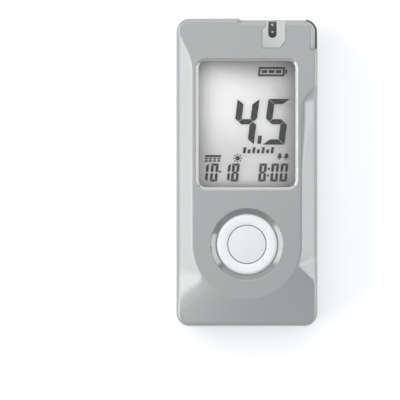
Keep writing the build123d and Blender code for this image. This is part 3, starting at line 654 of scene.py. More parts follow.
PAST_END = 50.0  # beyond the strip end, so that a cut runs out there
PORT_X, PORT_HALF = 7.86, 3.45
SLOT_START, SLOT_FLOOR, SLOT_ROOF = 44.0, 15.85, 18.6
BAY_FLOOR = 18.5
BAY = [
    (12.0, PAST_END), (12.0, 40.78), (10.23, 38.35), (4.55, 38.35),
    (4.55, 44.12), (5.85, 45.42), (5.85, PAST_END),
]
strip_slot = [(PORT_X + x, y) for x, y in rectangle(PORT_HALF, SLOT_START, PAST_END)]
for corners, z0, z1 in ((BAY, BAY_FLOOR, TOP + 1), (strip_slot, SLOT_FLOOR, SLOT_ROOF)):
    cutter_mesh = bmesh.new()
    prism(cutter_mesh, corners, z0, z1)
    bmesh.ops.recalc_face_normals(cutter_mesh, faces=cutter_mesh.faces)
    cut(cover, finish_mesh(cutter_mesh, "bay_cutter"))
print("cover after the cuts:", len(cover.data.polygons), "faces")


# %% Give the cover its exact shading
ON_FRONT = 0.02  # a point this close to the formula belongs to the front
FACING_UP = 0.02
SHARP_ANGLE = 28


def shade_front(mesh):
    """Smooth shading with the formula's own normals on the front, and sharp edges elsewhere."""
    count = len(mesh.vertices)
    co = np.empty(count * 3)
    mesh.vertices.foreach_get("co", co)
    co = co.reshape(-1, 3) / MM
    belongs = np.abs(front_height(co[:, 0], co[:, 1]) - co[:, 2]) < ON_FRONT
    exact = front_normals(co[:, 0], co[:, 1])
    mesh.polygons.foreach_set("use_smooth", [True] * len(mesh.polygons))
    mesh.set_sharp_from_angle(angle=radians(SHARP_ANGLE))
    loop_normals = np.zeros((len(mesh.loops), 3))
    for face in mesh.polygons:
        if face.normal.z > FACING_UP and all(belongs[v] for v in face.vertices):
            for loop in face.loop_indices:
                loop_normals[loop] = exact[mesh.loops[loop].vertex_index]
    mesh.normals_split_custom_set(loop_normals.tolist())
    print("exact normals on", int((np.abs(loop_normals).sum(axis=1) > 0).sum()), "corners")


shade_front(cover.data)
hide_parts("front_cover")
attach(cover, "case")

# %% [markdown]
# ## The display
# A liquid crystal display is two sheets of glass with a silver reflector behind them. The dark segments
# are the liquid crystal between the sheets, so they stand about a millimetre above the reflector and
# throw a soft shadow on it. We build the same stack: thin dark tiles between two panes that don't touch
# them. Each digit is made of up to seven tiles with bevelled ends and fine gaps, and leans a little to
# the right.

# %% Sizes of the stack, in millimetres
pane_low, pane_high = (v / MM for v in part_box("lcd_front_glass"))
rear_low, rear_high = (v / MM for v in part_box("lcd_rear_glass"))
PANE_GAP = 0.05
GROUND_EDGE = 0.12
INK_LOW, INK_HIGH = rear_high.z - 0.02, rear_high.z + 0.01


def pane(name, node, corner_low, corner_high):
    """A sheet of glass with ground edges, a hair smaller than the solid that it stands for."""
    mesh = bmesh.new()
    size = corner_high - corner_low
    centre = (corner_high + corner_low) / 2
    bmesh.ops.create_cube(mesh, size=1.0)
    bmesh.ops.scale(mesh, vec=size, verts=mesh.verts)
    bmesh.ops.translate(mesh, vec=centre, verts=mesh.verts)
    bmesh.ops.bevel(mesh, geom=mesh.edges[:], offset=GROUND_EDGE, segments=1, affect="EDGES")
    sheet = finish_mesh(mesh, name)
    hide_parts(node)
    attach(sheet, "case")
    return sheet


gap = Vector((0, 0, PANE_GAP))
front_pane = pane("display_front_pane", "lcd_front_glass", pane_low + gap, pane_high)
rear_pane = pane("display_rear_pane", "lcd_rear_glass", rear_low + gap / 2, rear_high - gap)
print("the ink lies in a gap of", round(pane_low.z - rear_high.z + 2 * PANE_GAP, 2), "mm")


# %% Segments of a digit
SEGMENTS_OF = {"0": "abcdef", "1": "bc", "4": "fgbc", "5": "afgcd", "8": "abcdefg"}
LEAN = 0.13  # every upright line of the display leans a little to the right
INK_PARTS = []  # every tile of the display as a flat outline in millimetres


def segment_shapes(width, height, upright, level, gap):
    """The seven tiles of a digit: mitred where two meet, with a six sided bar across the middle."""
    w, h, v, t, g = width, height, upright, level, gap
    mid = h / 2
    top = [(g, h), (w - g, h), (w - v - g, h - t), (v + g, h - t)]
    upper_left = [(0, h - g), (v, h - t - g), (v, mid + t / 2 + g), (v / 2, mid + g), (0, mid + v / 2)]
    middle_bar = [
        (v / 2 + g, mid), (v + g, mid + t / 2), (w - v - g, mid + t / 2),
        (w - v / 2 - g, mid), (w - v - g, mid - t / 2), (v + g, mid - t / 2),
    ]
    return {
        "a": top,
        "b": [(w - x, y) for x, y in upper_left],
        "c": [(w - x, h - y) for x, y in upper_left],
        "d": [(x, h - y) for x, y in top],
        "e": [(x, h - y) for x, y in upper_left],
        "f": upper_left,
        "g": middle_bar,
    }


def leaned(points, left, base, lean=LEAN):
    """Adds one tile."""
    INK_PARTS.append([(left + x + y * lean, base + y) for x, y in points])


def bar(left, base, x, y, width, height, lean=LEAN):
    """A level or upright tile, x and y away from the lower left corner of its sign."""
    leaned([(x, y), (x + width, y), (x + width, y + height), (x, y + height)], left, base, lean)


def digit(symbol, left, base, lean, **sizes):
    shapes = segment_shapes(**sizes)
    for name in SEGMENTS_OF[symbol]:
        leaned(shapes[name], left, base, lean)


# %% Lay out the digits
BIG = dict(width=6.8, height=14.15, upright=2.05, level=1.62, gap=0.07, lean=0.13)
SMALL = dict(width=2.3, height=5.6, upright=0.84, level=0.72, gap=0.05, lean=0.1)
BIG_BASE, SMALL_BASE = 8.63, -2.8
digit("4", -4.68, BIG_BASE, **BIG)
bar(3.2, BIG_BASE + 0.25, 0, 0, width=1.15, height=2.5, lean=BIG["lean"])  # the decimal point
digit("5", 4.82, BIG_BASE, **BIG)
SMALL_DIGITS = (
    ("1", -14.53), ("0", -11.53), ("1", -7.76), ("8", -5.03), ("8", 3.42), ("0", 7.15), ("0", 10.02),
)
for symbol, left in SMALL_DIGITS:
    digit(symbol, left, SMALL_BASE, **SMALL)
# the dash of the date and the colon of the time
SMALL_TILES = ((-8.85, 0.0, 0.85, 0.55), (6.2, -1.25, 0.65, 0.65), (6.42, 0.8, 0.65, 0.65))
for left, base, width, height in SMALL_TILES:
    bar(left, base, 0, 0, width, height, SMALL["lean"])
print("the digits have", len(INK_PARTS), "tiles")


# %% [markdown]
# Around the digits a display like this has small fixed symbols. Ours are plain signs that belong to
# nobody: a battery gauge, a row of scale marks, a calendar leaf, a sun and two bells.

# %% Small signs
def battery_sign(left, base, width, height, stroke, bars=3, space=0.45):
    """Outline of a cell with a nub and three charge bars."""
    for y in (0, height - stroke):
        bar(left, base, 0, y, width, stroke)
    for x in (0, width - stroke):
        bar(left, base, x, stroke, stroke, height - 2 * stroke)
    bar(left, base, x=width + 0.1, y=0.8, width=0.65, height=1.3)
    pitch = (width - 2 * stroke - space) / bars
    for k in range(bars):
        bar(left, base, x=stroke + space + k * pitch, y=1.0, width=pitch - space, height=0.95)


def scale_sign(left, base, count=7, pitch=1.43):
    """A row of marks, every other one shorter."""
    for k in range(count):
        bar(left + k * pitch, base, 0, 0, width=0.85, height=1.9 if k % 2 == 0 else 1.2)


def calendar_sign(left, base, days=4, pitch=1.3):
    """A heading over two rows of days."""
    bar(left + 0.2, base + 1.45, 0, 0, width=days * pitch - 0.3, height=0.65)
    for row in (0.75, 0.0):
        for k in range(days):
            bar(left + k * pitch, base, 0, row, width=0.9, height=0.5)


def sun_sign(cx, cy, radius, rays=8):
    """A disc with a short ray in each of eight directions."""
    INK_PARTS.append(arc(cx, cy, radius * 0.52, 0, 360, 20)[:-1])
    near, far, half = radius * 0.68, radius, 0.19
    for k in range(rays):
        ux, uy = cos(2 * pi * k / rays), sin(2 * pi * k / rays)
        corners = ((near, -half), (far, -half), (far, half), (near, half))
        INK_PARTS.append([(cx + ux * a - uy * b, cy + uy * a + ux * b) for a, b in corners])


def bell_sign(left, base):
    """The right half of a bell, mirrored about its middle, over a clapper."""
    right_half = [(1.75, 0.45), (1.5, 0.8), (1.35, 1.6), (1.1, 1.95)]
    left_half = [(1.75 - x, y) for x, y in reversed(right_half)]
    leaned(right_half + left_half, left, base)
    bar(left, base, x=0.62, y=0.0, width=0.51, height=0.33)


battery_sign(3.35, 29.75, width=8.2, height=2.9, stroke=0.62)
scale_sign(-1.25, 5.95)
calendar_sign(-13.1, 3.3)
sun_sign(-2.85, 4.4, radius=1.35)
for left in (9.1, 11.2):
    bell_sign(left, 4.0)
print(len(INK_PARTS), "tiles with the signs")


# %% Make the ink
def build_ink():
    mesh = bmesh.new()
    for shape in INK_PARTS:
        prism(mesh, shape, INK_LOW, INK_HIGH)
    bmesh.ops.recalc_face_normals(mesh, faces=mesh.faces)
    return finish_mesh(mesh, "display_segments")


ink = build_ink()
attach(ink, "case")
print("the display has", len(INK_PARTS), "dark tiles")

# %% [markdown]
# ## Finishes
# No real surface has one flat colour. Moulded plastic carries a fine grain from the mould, its tone
# drifts a little from place to place, and the edges that fingers touch are rubbed smoother and lighter.
# All of this is described here with procedural nodes: they need no picture files, have no seams, and keep
# their detail at any distance. An effect that several finishes share is built once, as a node group with
# named inputs, so every finish can give it its own values. All groups measure in millimetres, from the
# coordinates of the piece itself.

# %% Helpers for node trees
def connect(tree, socket, value):
    """Feeds a socket with another node's output, or sets it to a plain number or colour."""
    if isinstance(value, bpy.types.NodeSocket):
        tree.links.new(value, socket)
    else:
        socket.default_value = value


def add(tree, kind, inputs=None, **settings):
    """Adds a shader node with its settings and its inputs."""
    node = tree.nodes.new("ShaderNode" + kind)
    for key, value in settings.items():
        setattr(node, key, value)
    for key, value in (inputs or {}).items():
        connect(tree, node.inputs[key], value)
    return node


def dress(tree, shader, **inputs):
    """Connects a shader's inputs; an underscore stands for a space in a socket's name."""
    for key, value in inputs.items():
        connect(tree, shader.inputs[key.replace("_", " ")], value)


def maths(tree, operation, a, b=0.0):
    return add(tree, "Math", {0: a, 1: b}, operation=operation).outputs[0]


def remap(tree, value, from_low, from_high, to_low, to_high):
    limits = {"From Min": from_low, "From Max": from_high, "To Min": to_low, "To Max": to_high}
    return add(tree, "MapRange", {"Value": value, **limits}).outputs["Result"]


def noise(tree, vector, scale, detail, roughness=0.5):
    """Cloudy pattern between 0 and 1."""
    inputs = {"Vector": vector, "Scale": scale, "Detail": detail, "Roughness": roughness}
    return add(tree, "TexNoise", inputs).outputs["Fac"]


# the places of a Mix node's colour sockets
FIRST_COLOUR, SECOND_COLOUR, COLOUR_OUT = 6, 7, 2


def blend_colours(tree, factor, first, second):
    mix = add(tree, "Mix", {0: factor}, data_type="RGBA")
    for index, colour in ((FIRST_COLOUR, first), (SECOND_COLOUR, second)):
        from_node = isinstance(colour, bpy.types.NodeSocket)
        connect(tree, mix.inputs[index], colour if from_node else (*colour, 1))
    return mix.outputs[COLOUR_OUT]


def position_mm(tree):
    """The piece's own coordinates, in millimetres."""
    place = add(tree, "TexCoord").outputs["Object"]
    return add(tree, "VectorMath", {0: place, "Scale": 1 / MM}, operation="SCALE").outputs[0]


# %% Where a point lies and where a face looks
def dot_product(tree, a, b):
    return add(tree, "VectorMath", {0: a, 1: b}, operation="DOT_PRODUCT").outputs["Value"]


def distance_along(tree, heading):
    """How far a point lies along a heading, in millimetres."""
    return dot_product(tree, position_mm(tree), heading)


ACROSS, UPWARDS, OUTWARDS = (1.0, 0.0, 0.0), (0.0, 1.0, 0.0), (0.0, 0.0, 1.0)
SLANTING = (0.7, 0.7, 0.0)


def facing(tree, axis):
    """How much a face looks along an axis, either way: 1 straight along it and 0 across it."""
    normal = add(tree, "NewGeometry").outputs["Normal"]
    return maths(tree, "ABSOLUTE", add(tree, "SeparateXYZ", {0: normal}).outputs[axis])


# %% Helpers for node groups
def new_group(name, inputs, outputs):
    tree = bpy.data.node_groups.new(name, "ShaderNodeTree")
    for label, value in inputs.items():
        socket = tree.interface.new_socket(label, in_out="INPUT", socket_type="NodeSocketFloat")
        socket.default_value = value
    for label in outputs:
        tree.interface.new_socket(label, in_out="OUTPUT", socket_type="NodeSocketFloat")
    entry = tree.nodes.new("NodeGroupInput")
    leave = tree.nodes.new("NodeGroupOutput")
    return tree, entry.outputs, leave.inputs


def place_group(tree, group, **values):
    node = add(tree, "Group", node_tree=group)
    dress(tree, node, **values)
    return node.outputs


# %% [markdown]
# The first group is the grain that a spark eroded mould leaves on plastic: tiny rounded pits, some finer
# and some coarser, close together. Size is the width of a pit in millimetres.

# %% Group: mould grain
grain_group, given, out = new_group("mould_grain", {"Size": 0.2}, ["Height", "Fleck"])
place = position_mm(grain_group)
fineness = maths(grain_group, "DIVIDE", 1.0, given["Size"])
pits = noise(grain_group, place, fineness, detail=3.0, roughness=0.6)
cells = add(grain_group, "TexVoronoi", {"Vector": place, "Scale": fineness})
grain_group.links.new(pits, out["Height"])
fleck = add(grain_group, "SeparateColor", {"Color": cells.outputs["Color"]}).outputs["Red"]
grain_group.links.new(fleck, out["Fleck"])
print("mould_grain has", len(grain_group.nodes), "nodes")

# %% [markdown]
# The second group is slow drift: clouds some millimetres wide that make one place a trace lighter or
# shinier than the next, and a few long thin handling marks that cross them.

# %% Group: drift and handling
drift_group, given, out = new_group("drift_and_handling", {"Size": 12.0}, ["Drift", "Marks"])
place = position_mm(drift_group)
cloudiness = maths(drift_group, "DIVIDE", 1.0, given["Size"])
clouds = noise(drift_group, place, cloudiness, detail=4.0, roughness=0.55)
drift_group.links.new(remap(drift_group, clouds, 0.3, 0.7, -1.0, 1.0), out["Drift"])
drawn_out = {"Rotation": (0.3, 0.2, 0.7), "Scale": (0.12, 2.6, 0.6)}
turned = add(drift_group, "Mapping", {"Vector": place, **drawn_out})
hairs = noise(drift_group, turned.outputs[0], scale=1.0, detail=2.0)
drift_group.links.new(remap(drift_group, hairs, 0.66, 0.74, 0.0, 1.0), out["Marks"])
print("drift_and_handling has", len(drift_group.nodes), "nodes")

# %% [markdown]
# The third group finds edges. A bevel node gives the direction that the surface would have if its edges
# were rounded. Where that differs from the real direction there is an edge, and a cloudy noise breaks the
# line up, so that the rubbing looks like the work of hands and pockets and not like a drawn outline.

# %% Group: rubbed edges
edge_group, given, out = new_group("rubbed_edges", {"Reach": 0.3}, ["Edge"])
rounded = add(edge_group, "Bevel", {"Radius": maths(edge_group, "MULTIPLY", given["Reach"], MM)}, samples=4)
real = add(edge_group, "NewGeometry")
agree = dot_product(edge_group, rounded.outputs[0], real.outputs["Normal"])
edge = remap(edge_group, agree, 0.995, 0.9, 0.0, 1.0)
patches = noise(edge_group, position_mm(edge_group), scale=0.8, detail=3.0)
broken = remap(edge_group, patches, 0.35, 0.6, 0.25, 1.0)
edge_group.links.new(maths(edge_group, "MULTIPLY", edge, broken), out["Edge"])
print("rubbed_edges has", len(edge_group.nodes), "nodes")

# %% [markdown]
# The last group is the fine lines of rolled or brushed metal, all running one way along the sheet.

# %% Group: rolled lines
lines_group, given, out = new_group("rolled_lines", {"Width": 0.08}, ["Line"])
stretched = add(lines_group, "Mapping", {"Vector": position_mm(lines_group), "Scale": (1.0, 0.03, 1.0)})
closeness = maths(lines_group, "DIVIDE", 1.0, given["Width"])
streaks = noise(lines_group, stretched.outputs[0], closeness, detail=2.0)
lines_group.links.new(streaks, out["Line"])
print(len(bpy.data.node_groups), "node groups")


# %% Start and finish a material
def new_material(name):
    material = bpy.data.materials.new(name)
    material.use_nodes = True
    return material, material.node_tree, material.node_tree.nodes["Principled BSDF"]


def count_nodes(material):
    print(material.name, "has", len(material.node_tree.nodes), "nodes")


MICRON = 1e-6


def set_bump(tree, shader, height, depth_um):
    """Relief of the given depth in micrometres."""
    bump = add(tree, "Bump", {"Height": height, "Strength": 1.0, "Distance": depth_um * MICRON})
    dress(tree, shader, Normal=bump.outputs["Normal"])


# %% [markdown]
# Most pieces of the meter are moulded plastic, so one function makes them all. It mixes the colour
# between a darker and a lighter shade with the drift, lightens rubbed edges, lets the roughness follow
# both, and adds the grain.

# %% Moulded plastic
def shade(colour, factor):
    return tuple(min(1.0, channel * factor) for channel in colour)


RUBBED_GLOSS = 0.12  # a rubbed edge is smoother by this share
WANDER = 0.012  # how far the roughness drifts from place to place


def moulded(name, colour, rough, grain_size, grain_um, spread, rub, marks=0.04, metal=0.0, fleck=0.0):
    """Plastic from a mould; the grain has a width in millimetres and a depth in micrometres."""
    material, tree, shader = new_material(name)
    grain = place_group(tree, grain_group, Size=grain_size)
    slow = place_group(tree, drift_group)
    edge = place_group(tree, edge_group)["Edge"]
    level = remap(tree, slow["Drift"], -1.0, 1.0, 0.0, 1.0)
    if fleck:
        level = maths(tree, "ADD", level, remap(tree, grain["Fleck"], 0.0, 1.0, -fleck, fleck))
    tone = blend_colours(tree, level, shade(colour, 1 - spread), shade(colour, 1 + spread))
    tone = blend_colours(tree, edge, tone, shade(colour, rub))
    worn = maths(tree, "MULTIPLY", edge, -RUBBED_GLOSS * rough)
    marked = maths(tree, "MULTIPLY", slow["Marks"], marks)
    wander = maths(tree, "MULTIPLY", slow["Drift"], WANDER)
    roughness = maths(tree, "ADD", maths(tree, "ADD", worn, marked), maths(tree, "ADD", wander, rough))
    dress(tree, shader, Base_Color=tone, Roughness=roughness, Metallic=metal)
    set_bump(tree, shader, grain["Height"], grain_um)
    return material


# %% The moulded finishes
SILVER = (0.37, 0.375, 0.377)
PALE_GREY = (0.5, 0.51, 0.51)
METAL_SHARE = 0.6  # the lacquer is full of fine metal flakes
key_surface = dict(rough=0.33, grain_size=0.12, grain_um=1.0, spread=0.015, rub=1.03)
pale_surface = dict(rough=0.36, grain_size=0.16, grain_um=3.0, spread=0.03)
polish = dict(grain_size=0.2, grain_um=0.2, spread=0.015, rub=1.0, marks=0.01, metal=METAL_SHARE)
finishes = {
    "grey_plastic": moulded(
        "silver_lacquer", SILVER, rough=0.31, grain_size=0.09, grain_um=0.8,
        spread=0.015, rub=1.03, marks=0.012, metal=METAL_SHARE, fleck=1.5,
    ),
    "white_plastic": moulded(
        "white_case_plastic", (0.62, 0.63, 0.63), rough=0.42, grain_size=0.28, grain_um=9.0,
        spread=0.02, rub=1.03,
    ),
    "key_white": moulded("white_key_plastic", (0.71, 0.72, 0.725), **key_surface),
    "port_plastic": moulded("pale_grey_plastic", PALE_GREY, rub=1.1, **pale_surface),
    "dark_rubber": moulded(
        "dark_flap_rubber", (0.1, 0.1, 0.102), rough=0.62, grain_size=0.22, grain_um=8.0,
        spread=0.1, rub=1.4,
    ),
    "chip_black": moulded(
        "black_moulding_compound", (0.025, 0.025, 0.026), rough=0.55, grain_size=0.12, grain_um=5.0,
        spread=0.15, rub=1.5,
    ),
}
# the key cap is a darker copy of the ring's white plastic; the darker tone is painted shade
key_finish_painted_shade = moulded("key_cap_painted_shade", (0.655, 0.66, 0.665), **key_surface)
# two polished copies of the lacquer: the dish's silver is darkened as painted shade, the frame's lightened
# as painted light
dish_finish_painted_shade = moulded("polished_chamfer_painted_shade", shade(SILVER, 0.8), rough=0.12, **polish)
bezel_finish_painted_light = moulded("polished_bezel_painted_light", shade(SILVER, 1.12), rough=0.18, **polish)
connector_finish = moulded(
    "connector_plastic", (0.11, 0.11, 0.112), rough=0.45, grain_size=0.15, grain_um=4.0,
    spread=0.1, rub=1.3,
)
print(len(bpy.data.materials), "materials so far")

# %% [markdown]
# The guide of the strip port is the same pale plastic. Towards its lower left corner painted shade darkens
# its colour close to the grey of the cover, so that the pad seems to fade into the face there. Its finish
# starts as the moulded one, and a slanting ramp of painted shade on the way to Base Color adds the fade.

# %% Strip port guide
GREY_CORNER, PALE_FROM = 31.0, 37.0  # along the slanting heading
PAINTED_SHADE_GREY = (0.41, 0.415, 0.415)
guide_finish = moulded("strip_guide_plastic", PALE_GREY, rub=1.05, **pale_surface)
tree = guide_finish.node_tree
shader = tree.nodes["Principled BSDF"]
even_tone = shader.inputs["Base Color"].links[0].from_socket
# painted shade: the colour fades towards the cover's grey at the lower left
painted_fade = remap(tree, distance_along(tree, SLANTING), GREY_CORNER, PALE_FROM, 0.0, 1.0)
dress(tree, shader, Base_Color=blend_colours(tree, painted_fade, PAINTED_SHADE_GREY, even_tone))
count_nodes(guide_finish)

# %% [markdown]
# The tape under the window is a closed cell foam. Its cells show as a fine network of round pits.

# %% Foam tape
FOAM_BLACK, FOAM_GREY = (0.012, 0.012, 0.012), (0.035, 0.035, 0.036)
material, tree, shader = new_material("black_foam_tape")
cells = add(tree, "TexVoronoi", {"Vector": position_mm(tree), "Scale": 9.0})
hollow = remap(tree, cells.outputs["Distance"], 0.0, 0.6, 0.0, 1.0)
roughness = remap(tree, hollow, 0.0, 1.0, 0.95, 0.7)
dress(tree, shader, Base_Color=blend_colours(tree, hollow, FOAM_BLACK, FOAM_GREY), Roughness=roughness)
set_bump(tree, shader, hollow, depth_um=30.0)
finishes["black_tape"] = material
count_nodes(material)

# %% [markdown]
# Metal parts are nickel plated spring steel and pale gold plated contacts. Both start as rolled strip, so
# their gloss runs in fine lines, and both are a little darker where they have been touched.

# %% Plated metal
def plated(name, colour, rough, line_width=0.08):
    material, tree, shader = new_material(name)
    line = place_group(tree, lines_group, Width=line_width)["Line"]
    slow = place_group(tree, drift_group, Size=3.0)
    tone = blend_colours(tree, line, shade(colour, 0.9), shade(colour, 1.06))
    tone = blend_colours(tree, maths(tree, "MULTIPLY", slow["Marks"], 0.3), tone, shade(colour, 0.6))
    clouded = maths(tree, "MULTIPLY", slow["Drift"], 0.05)
    streaked = remap(tree, line, 0.3, 0.7, rough - 0.05, rough + 0.08)
    dress(tree, shader, Base_Color=tone, Roughness=maths(tree, "ADD", clouded, streaked), Metallic=1.0)
    set_bump(tree, shader, line, depth_um=1.5)
    return material


finishes["spring_steel"] = plated("nickel_plated_steel", (0.62, 0.61, 0.59), rough=0.28)
finishes["contact_metal"] = plated("pale_gold_contacts", (0.52, 0.5, 0.46), rough=0.25, line_width=0.05)
count_nodes(finishes["contact_metal"])

# %% [markdown]
# The circuit board is glass fibre under green solder mask. Copper tracks under the mask stand out a
# little and look lighter, and on a board made by machine they run in straight lines. A brick pattern with
# thin joints gives lines that start and stop, and a second one at a right angle crosses it.

# %% Circuit board
TRACK_PITCH, TRACK_WIDTH = 1.27, 0.09
MASK_DARK, MASK_LIGHT, MASK_OVER_COPPER = (0.012, 0.075, 0.03), (0.02, 0.11, 0.045), (0.035, 0.2, 0.075)
material, tree, shader = new_material("green_circuit_board")
place = position_mm(tree)
turned = {"Vector": place, "Rotation": (0, 0, pi / 2), "Location": (0.4, 0.3, 0)}
sideways = add(tree, "Mapping", turned).outputs[0]
tracks = []
for vector, track_length in ((place, 7.3), (sideways, 11.7)):
    sizes = {"Brick Width": track_length, "Row Height": TRACK_PITCH, "Mortar Size": TRACK_WIDTH}
    tracks.append(add(tree, "TexBrick", {"Vector": vector, "Scale": 1.0, **sizes}).outputs["Fac"])
copper = maths(tree, "MAXIMUM", *tracks)
weave = noise(tree, place, scale=3.0, detail=4.0)
mask_green = blend_colours(tree, weave, MASK_DARK, MASK_LIGHT)
board_tone = blend_colours(tree, copper, mask_green, MASK_OVER_COPPER)
dress(tree, shader, Base_Color=board_tone, Roughness=remap(tree, weave, 0.3, 0.7, 0.22, 0.32))
set_bump(tree, shader, copper, depth_um=35.0)
finishes["board_green"] = material
count_nodes(material)

# %% [markdown]
# Chips are a matt black moulding compound with tinned legs. Legs and body are one piece here, so the
# finish tells them apart by height: the legs lie against the board, in the last quarter of a millimetre.
# Small components differ from each other: the node that gives each loose part its own random number picks
# a ceramic tan, brown or black, and the faces at both ends are tinned.

# %% Chips and small components
BOARD_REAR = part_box("main_board")[0].z / MM
LEGS_FROM, LEGS_WHOLE = BOARD_REAR - 0.27, BOARD_REAR - 0.24
TIN = (0.62, 0.62, 0.6)
BLACK, BLACK_SHEEN = (0.014, 0.014, 0.015), (0.03, 0.03, 0.032)
BROWN, TAN = (0.35, 0.24, 0.13), (0.5, 0.44, 0.33)


def tinned(name, body_of, tin_of):
    """Finish with a body colour and a mask that says where the tin is."""
    material, tree, shader = new_material(name)
    grain = place_group(tree, grain_group, Size=0.12)
    tin = tin_of(tree)
    tone = blend_colours(tree, tin, body_of(tree, grain), TIN)
    dress(tree, shader, Base_Color=tone, Metallic=tin, Roughness=remap(tree, tin, 0.0, 1.0, 0.55, 0.3))
    set_bump(tree, shader, grain["Height"], depth_um=4.0)
    return material


def moulding_compound(tree, grain):
    return blend_colours(tree, grain["Fleck"], BLACK, BLACK_SHEEN)


def legs_by_height(tree):
    return remap(tree, distance_along(tree, OUTWARDS), LEGS_FROM, LEGS_WHOLE, 0.0, 1.0)


def ceramic(tree, grain):
    """Two in five are black, about a quarter is brown and a third is tan."""
    pick = add(tree, "NewGeometry").outputs["Random Per Island"]
    bright = blend_colours(tree, maths(tree, "GREATER_THAN", pick, 0.66), BROWN, TAN)
    return blend_colours(tree, maths(tree, "LESS_THAN", pick, 0.4), bright, BLACK_SHEEN)


def ends_by_direction(tree):
    return maths(tree, "GREATER_THAN", facing(tree, "Y"), 0.9)


chip_finish = tinned("chip_with_legs", moulding_compound, legs_by_height)
component_finish = tinned("small_components", ceramic, ends_by_direction)
print("chips and components have tinned legs and ends")

# %% [markdown]
# An AAA cell is a nickel plated steel can in a printed shrink sleeve. The sleeve leaves both end faces
# bare. Ours has a plain dark body, a warm band at the positive end and a thin pale line between them, and
# it faces the way the cell does: one cell points up and the other down.

# %% Cells
SLEEVE_DARK, SLEEVE_LIGHT, LINE_WHITE = (0.022, 0.026, 0.04), (0.032, 0.037, 0.055), (0.6, 0.6, 0.58)
BAND_ORANGE, BARE_STEEL = (0.55, 0.2, 0.05), (0.66, 0.65, 0.62)
LINE_FROM, BAND_FROM = 0.68, 0.7  # shares of the cell's length


def cell_finish(name, band_from, band_to):
    material, tree, shader = new_material(name)
    along = remap(tree, distance_along(tree, UPWARDS), band_from, band_to, 0.0, 1.0)
    drift = place_group(tree, drift_group, Size=5.0)["Drift"]
    tone = blend_colours(tree, remap(tree, drift, -1, 1, 0, 1), SLEEVE_DARK, SLEEVE_LIGHT)
    for start, colour in ((LINE_FROM, LINE_WHITE), (BAND_FROM, BAND_ORANGE)):
        tone = blend_colours(tree, maths(tree, "GREATER_THAN", along, start), tone, colour)
    bare = maths(tree, "GREATER_THAN", facing(tree, "Y"), 0.8)
    tone = blend_colours(tree, bare, tone, BARE_STEEL)
    dress(tree, shader, Base_Color=tone, Metallic=bare, Roughness=remap(tree, drift, -1, 1, 0.2, 0.3))
    wrinkles = noise(tree, position_mm(tree), scale=0.7, detail=2.0)
    set_bump(tree, shader, wrinkles, depth_um=40.0)
    return material


cell_low, cell_high = (v.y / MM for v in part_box("battery_left"))
left_cell = cell_finish("sleeve_pointing_up", cell_low, cell_high)
right_cell = cell_finish("sleeve_pointing_down", cell_high, cell_low)
print("cells from", round(cell_low, 1), "to", round(cell_high, 1), "mm")

# %% [markdown]
# The display's brightness comes from its silver film, which mirrors the room softly. It lies deep under
# the window, where the frame shades it, and that shade is painted into the film's colour: darker along each
# side of the frame, and below the middle, where the light comes in lower. The film's tone is a product of
# six soft ramps of painted shade: one for each side, one for the fall towards the bottom and one for the
# upper right corner. They leave a painted highlight towards the upper left, with the faint rolling lines of
# the foil on top. A weak emission of the same tone is painted light that makes the film glow a little.

# %% Display film
LEFT_SIDE, RIGHT_SIDE = -WINDOW_HALF[0], WINDOW_HALF[0]
LOW_SIDE, HIGH_SIDE = WINDOW_Y - WINDOW_HALF[1], WINDOW_Y + WINDOW_HALF[1]
# for each ramp of painted shade: its heading, where it is darkest, where it has ended, the light that is
# left, and its curve
FILM_PAINTED_SHADES = (
    (ACROSS, LEFT_SIDE, LEFT_SIDE + 6.5, 0.53, 2.0),
    (ACROSS, RIGHT_SIDE, RIGHT_SIDE - 9.5, 0.38, 1.7),
    (UPWARDS, HIGH_SIDE, HIGH_SIDE - 9.0, 0.41, 1.7),
    (UPWARDS, LOW_SIDE, LOW_SIDE + 3.0, 0.42, 1.5),
    (UPWARDS, 7.0, 18.0, 0.73, 1.0),
    (SLANTING, 24.0, 15.5, 0.74, 1.0),
)

FILM_SILVER = (0.98, 0.982, 0.975)
material, tree, shader = new_material("display_film")
film_painted_shade_and_lines = 1.0
# each ramp multiplies painted shade into the film's colour, darkest at its own side of the frame
for heading, dark_end, light_end, left_over, curve in FILM_PAINTED_SHADES:
    to_go = remap(tree, distance_along(tree, heading), dark_end, light_end, 1.0, 0.0)
    kept = remap(tree, maths(tree, "POWER", to_go, curve), 0.0, 1.0, 1.0, left_over)
    film_painted_shade_and_lines = maths(tree, "MULTIPLY", kept, film_painted_shade_and_lines)
line = place_group(tree, lines_group, Width=0.3)["Line"]
film_painted_shade_and_lines = maths(tree, "MULTIPLY", film_painted_shade_and_lines, remap(tree, line, 0.3, 0.7, 1.0, 0.97))
film_tone_with_painted_light = blend_colours(tree, film_painted_shade_and_lines, (0.0, 0.0, 0.0), FILM_SILVER)
dress(tree, shader, Base_Color=film_tone_with_painted_light, Roughness=remap(tree, line, 0.3, 0.7, 0.5, 0.6))
# the weak emission is painted light: the film glows with its own shaded tone
dress(tree, shader, Emission_Color=film_tone_with_painted_light, Emission_Strength=0.36)
finishes["lcd_film"] = material
count_nodes(material)

# %% [markdown]
# The liquid crystal between the sheets is a dark blue grey where a segment is on, and never fully black,
# because some light still passes. The sheets themselves hardly show; only their ground edges are frosty.
# Their finish finds those edges by the direction of the surface: the faces of a sheet look up or down,
# its edges look sideways.

# %% Segments and display glass
INK_DARK, INK_LIGHT = (0.014, 0.015, 0.017), (0.022, 0.023, 0.025)
ink_finish, tree, shader = new_material("segment_ink")
drift = place_group(tree, drift_group, Size=6.0)["Drift"]
ink_tone = blend_colours(tree, remap(tree, drift, -1, 1, 0, 1), INK_DARK, INK_LIGHT)
dress(tree, shader, Base_Color=ink_tone, Roughness=remap(tree, drift, -1, 1, 0.5, 0.65))
dress(tree, shader, Specular_IOR_Level=0.08)
count_nodes(ink_finish)


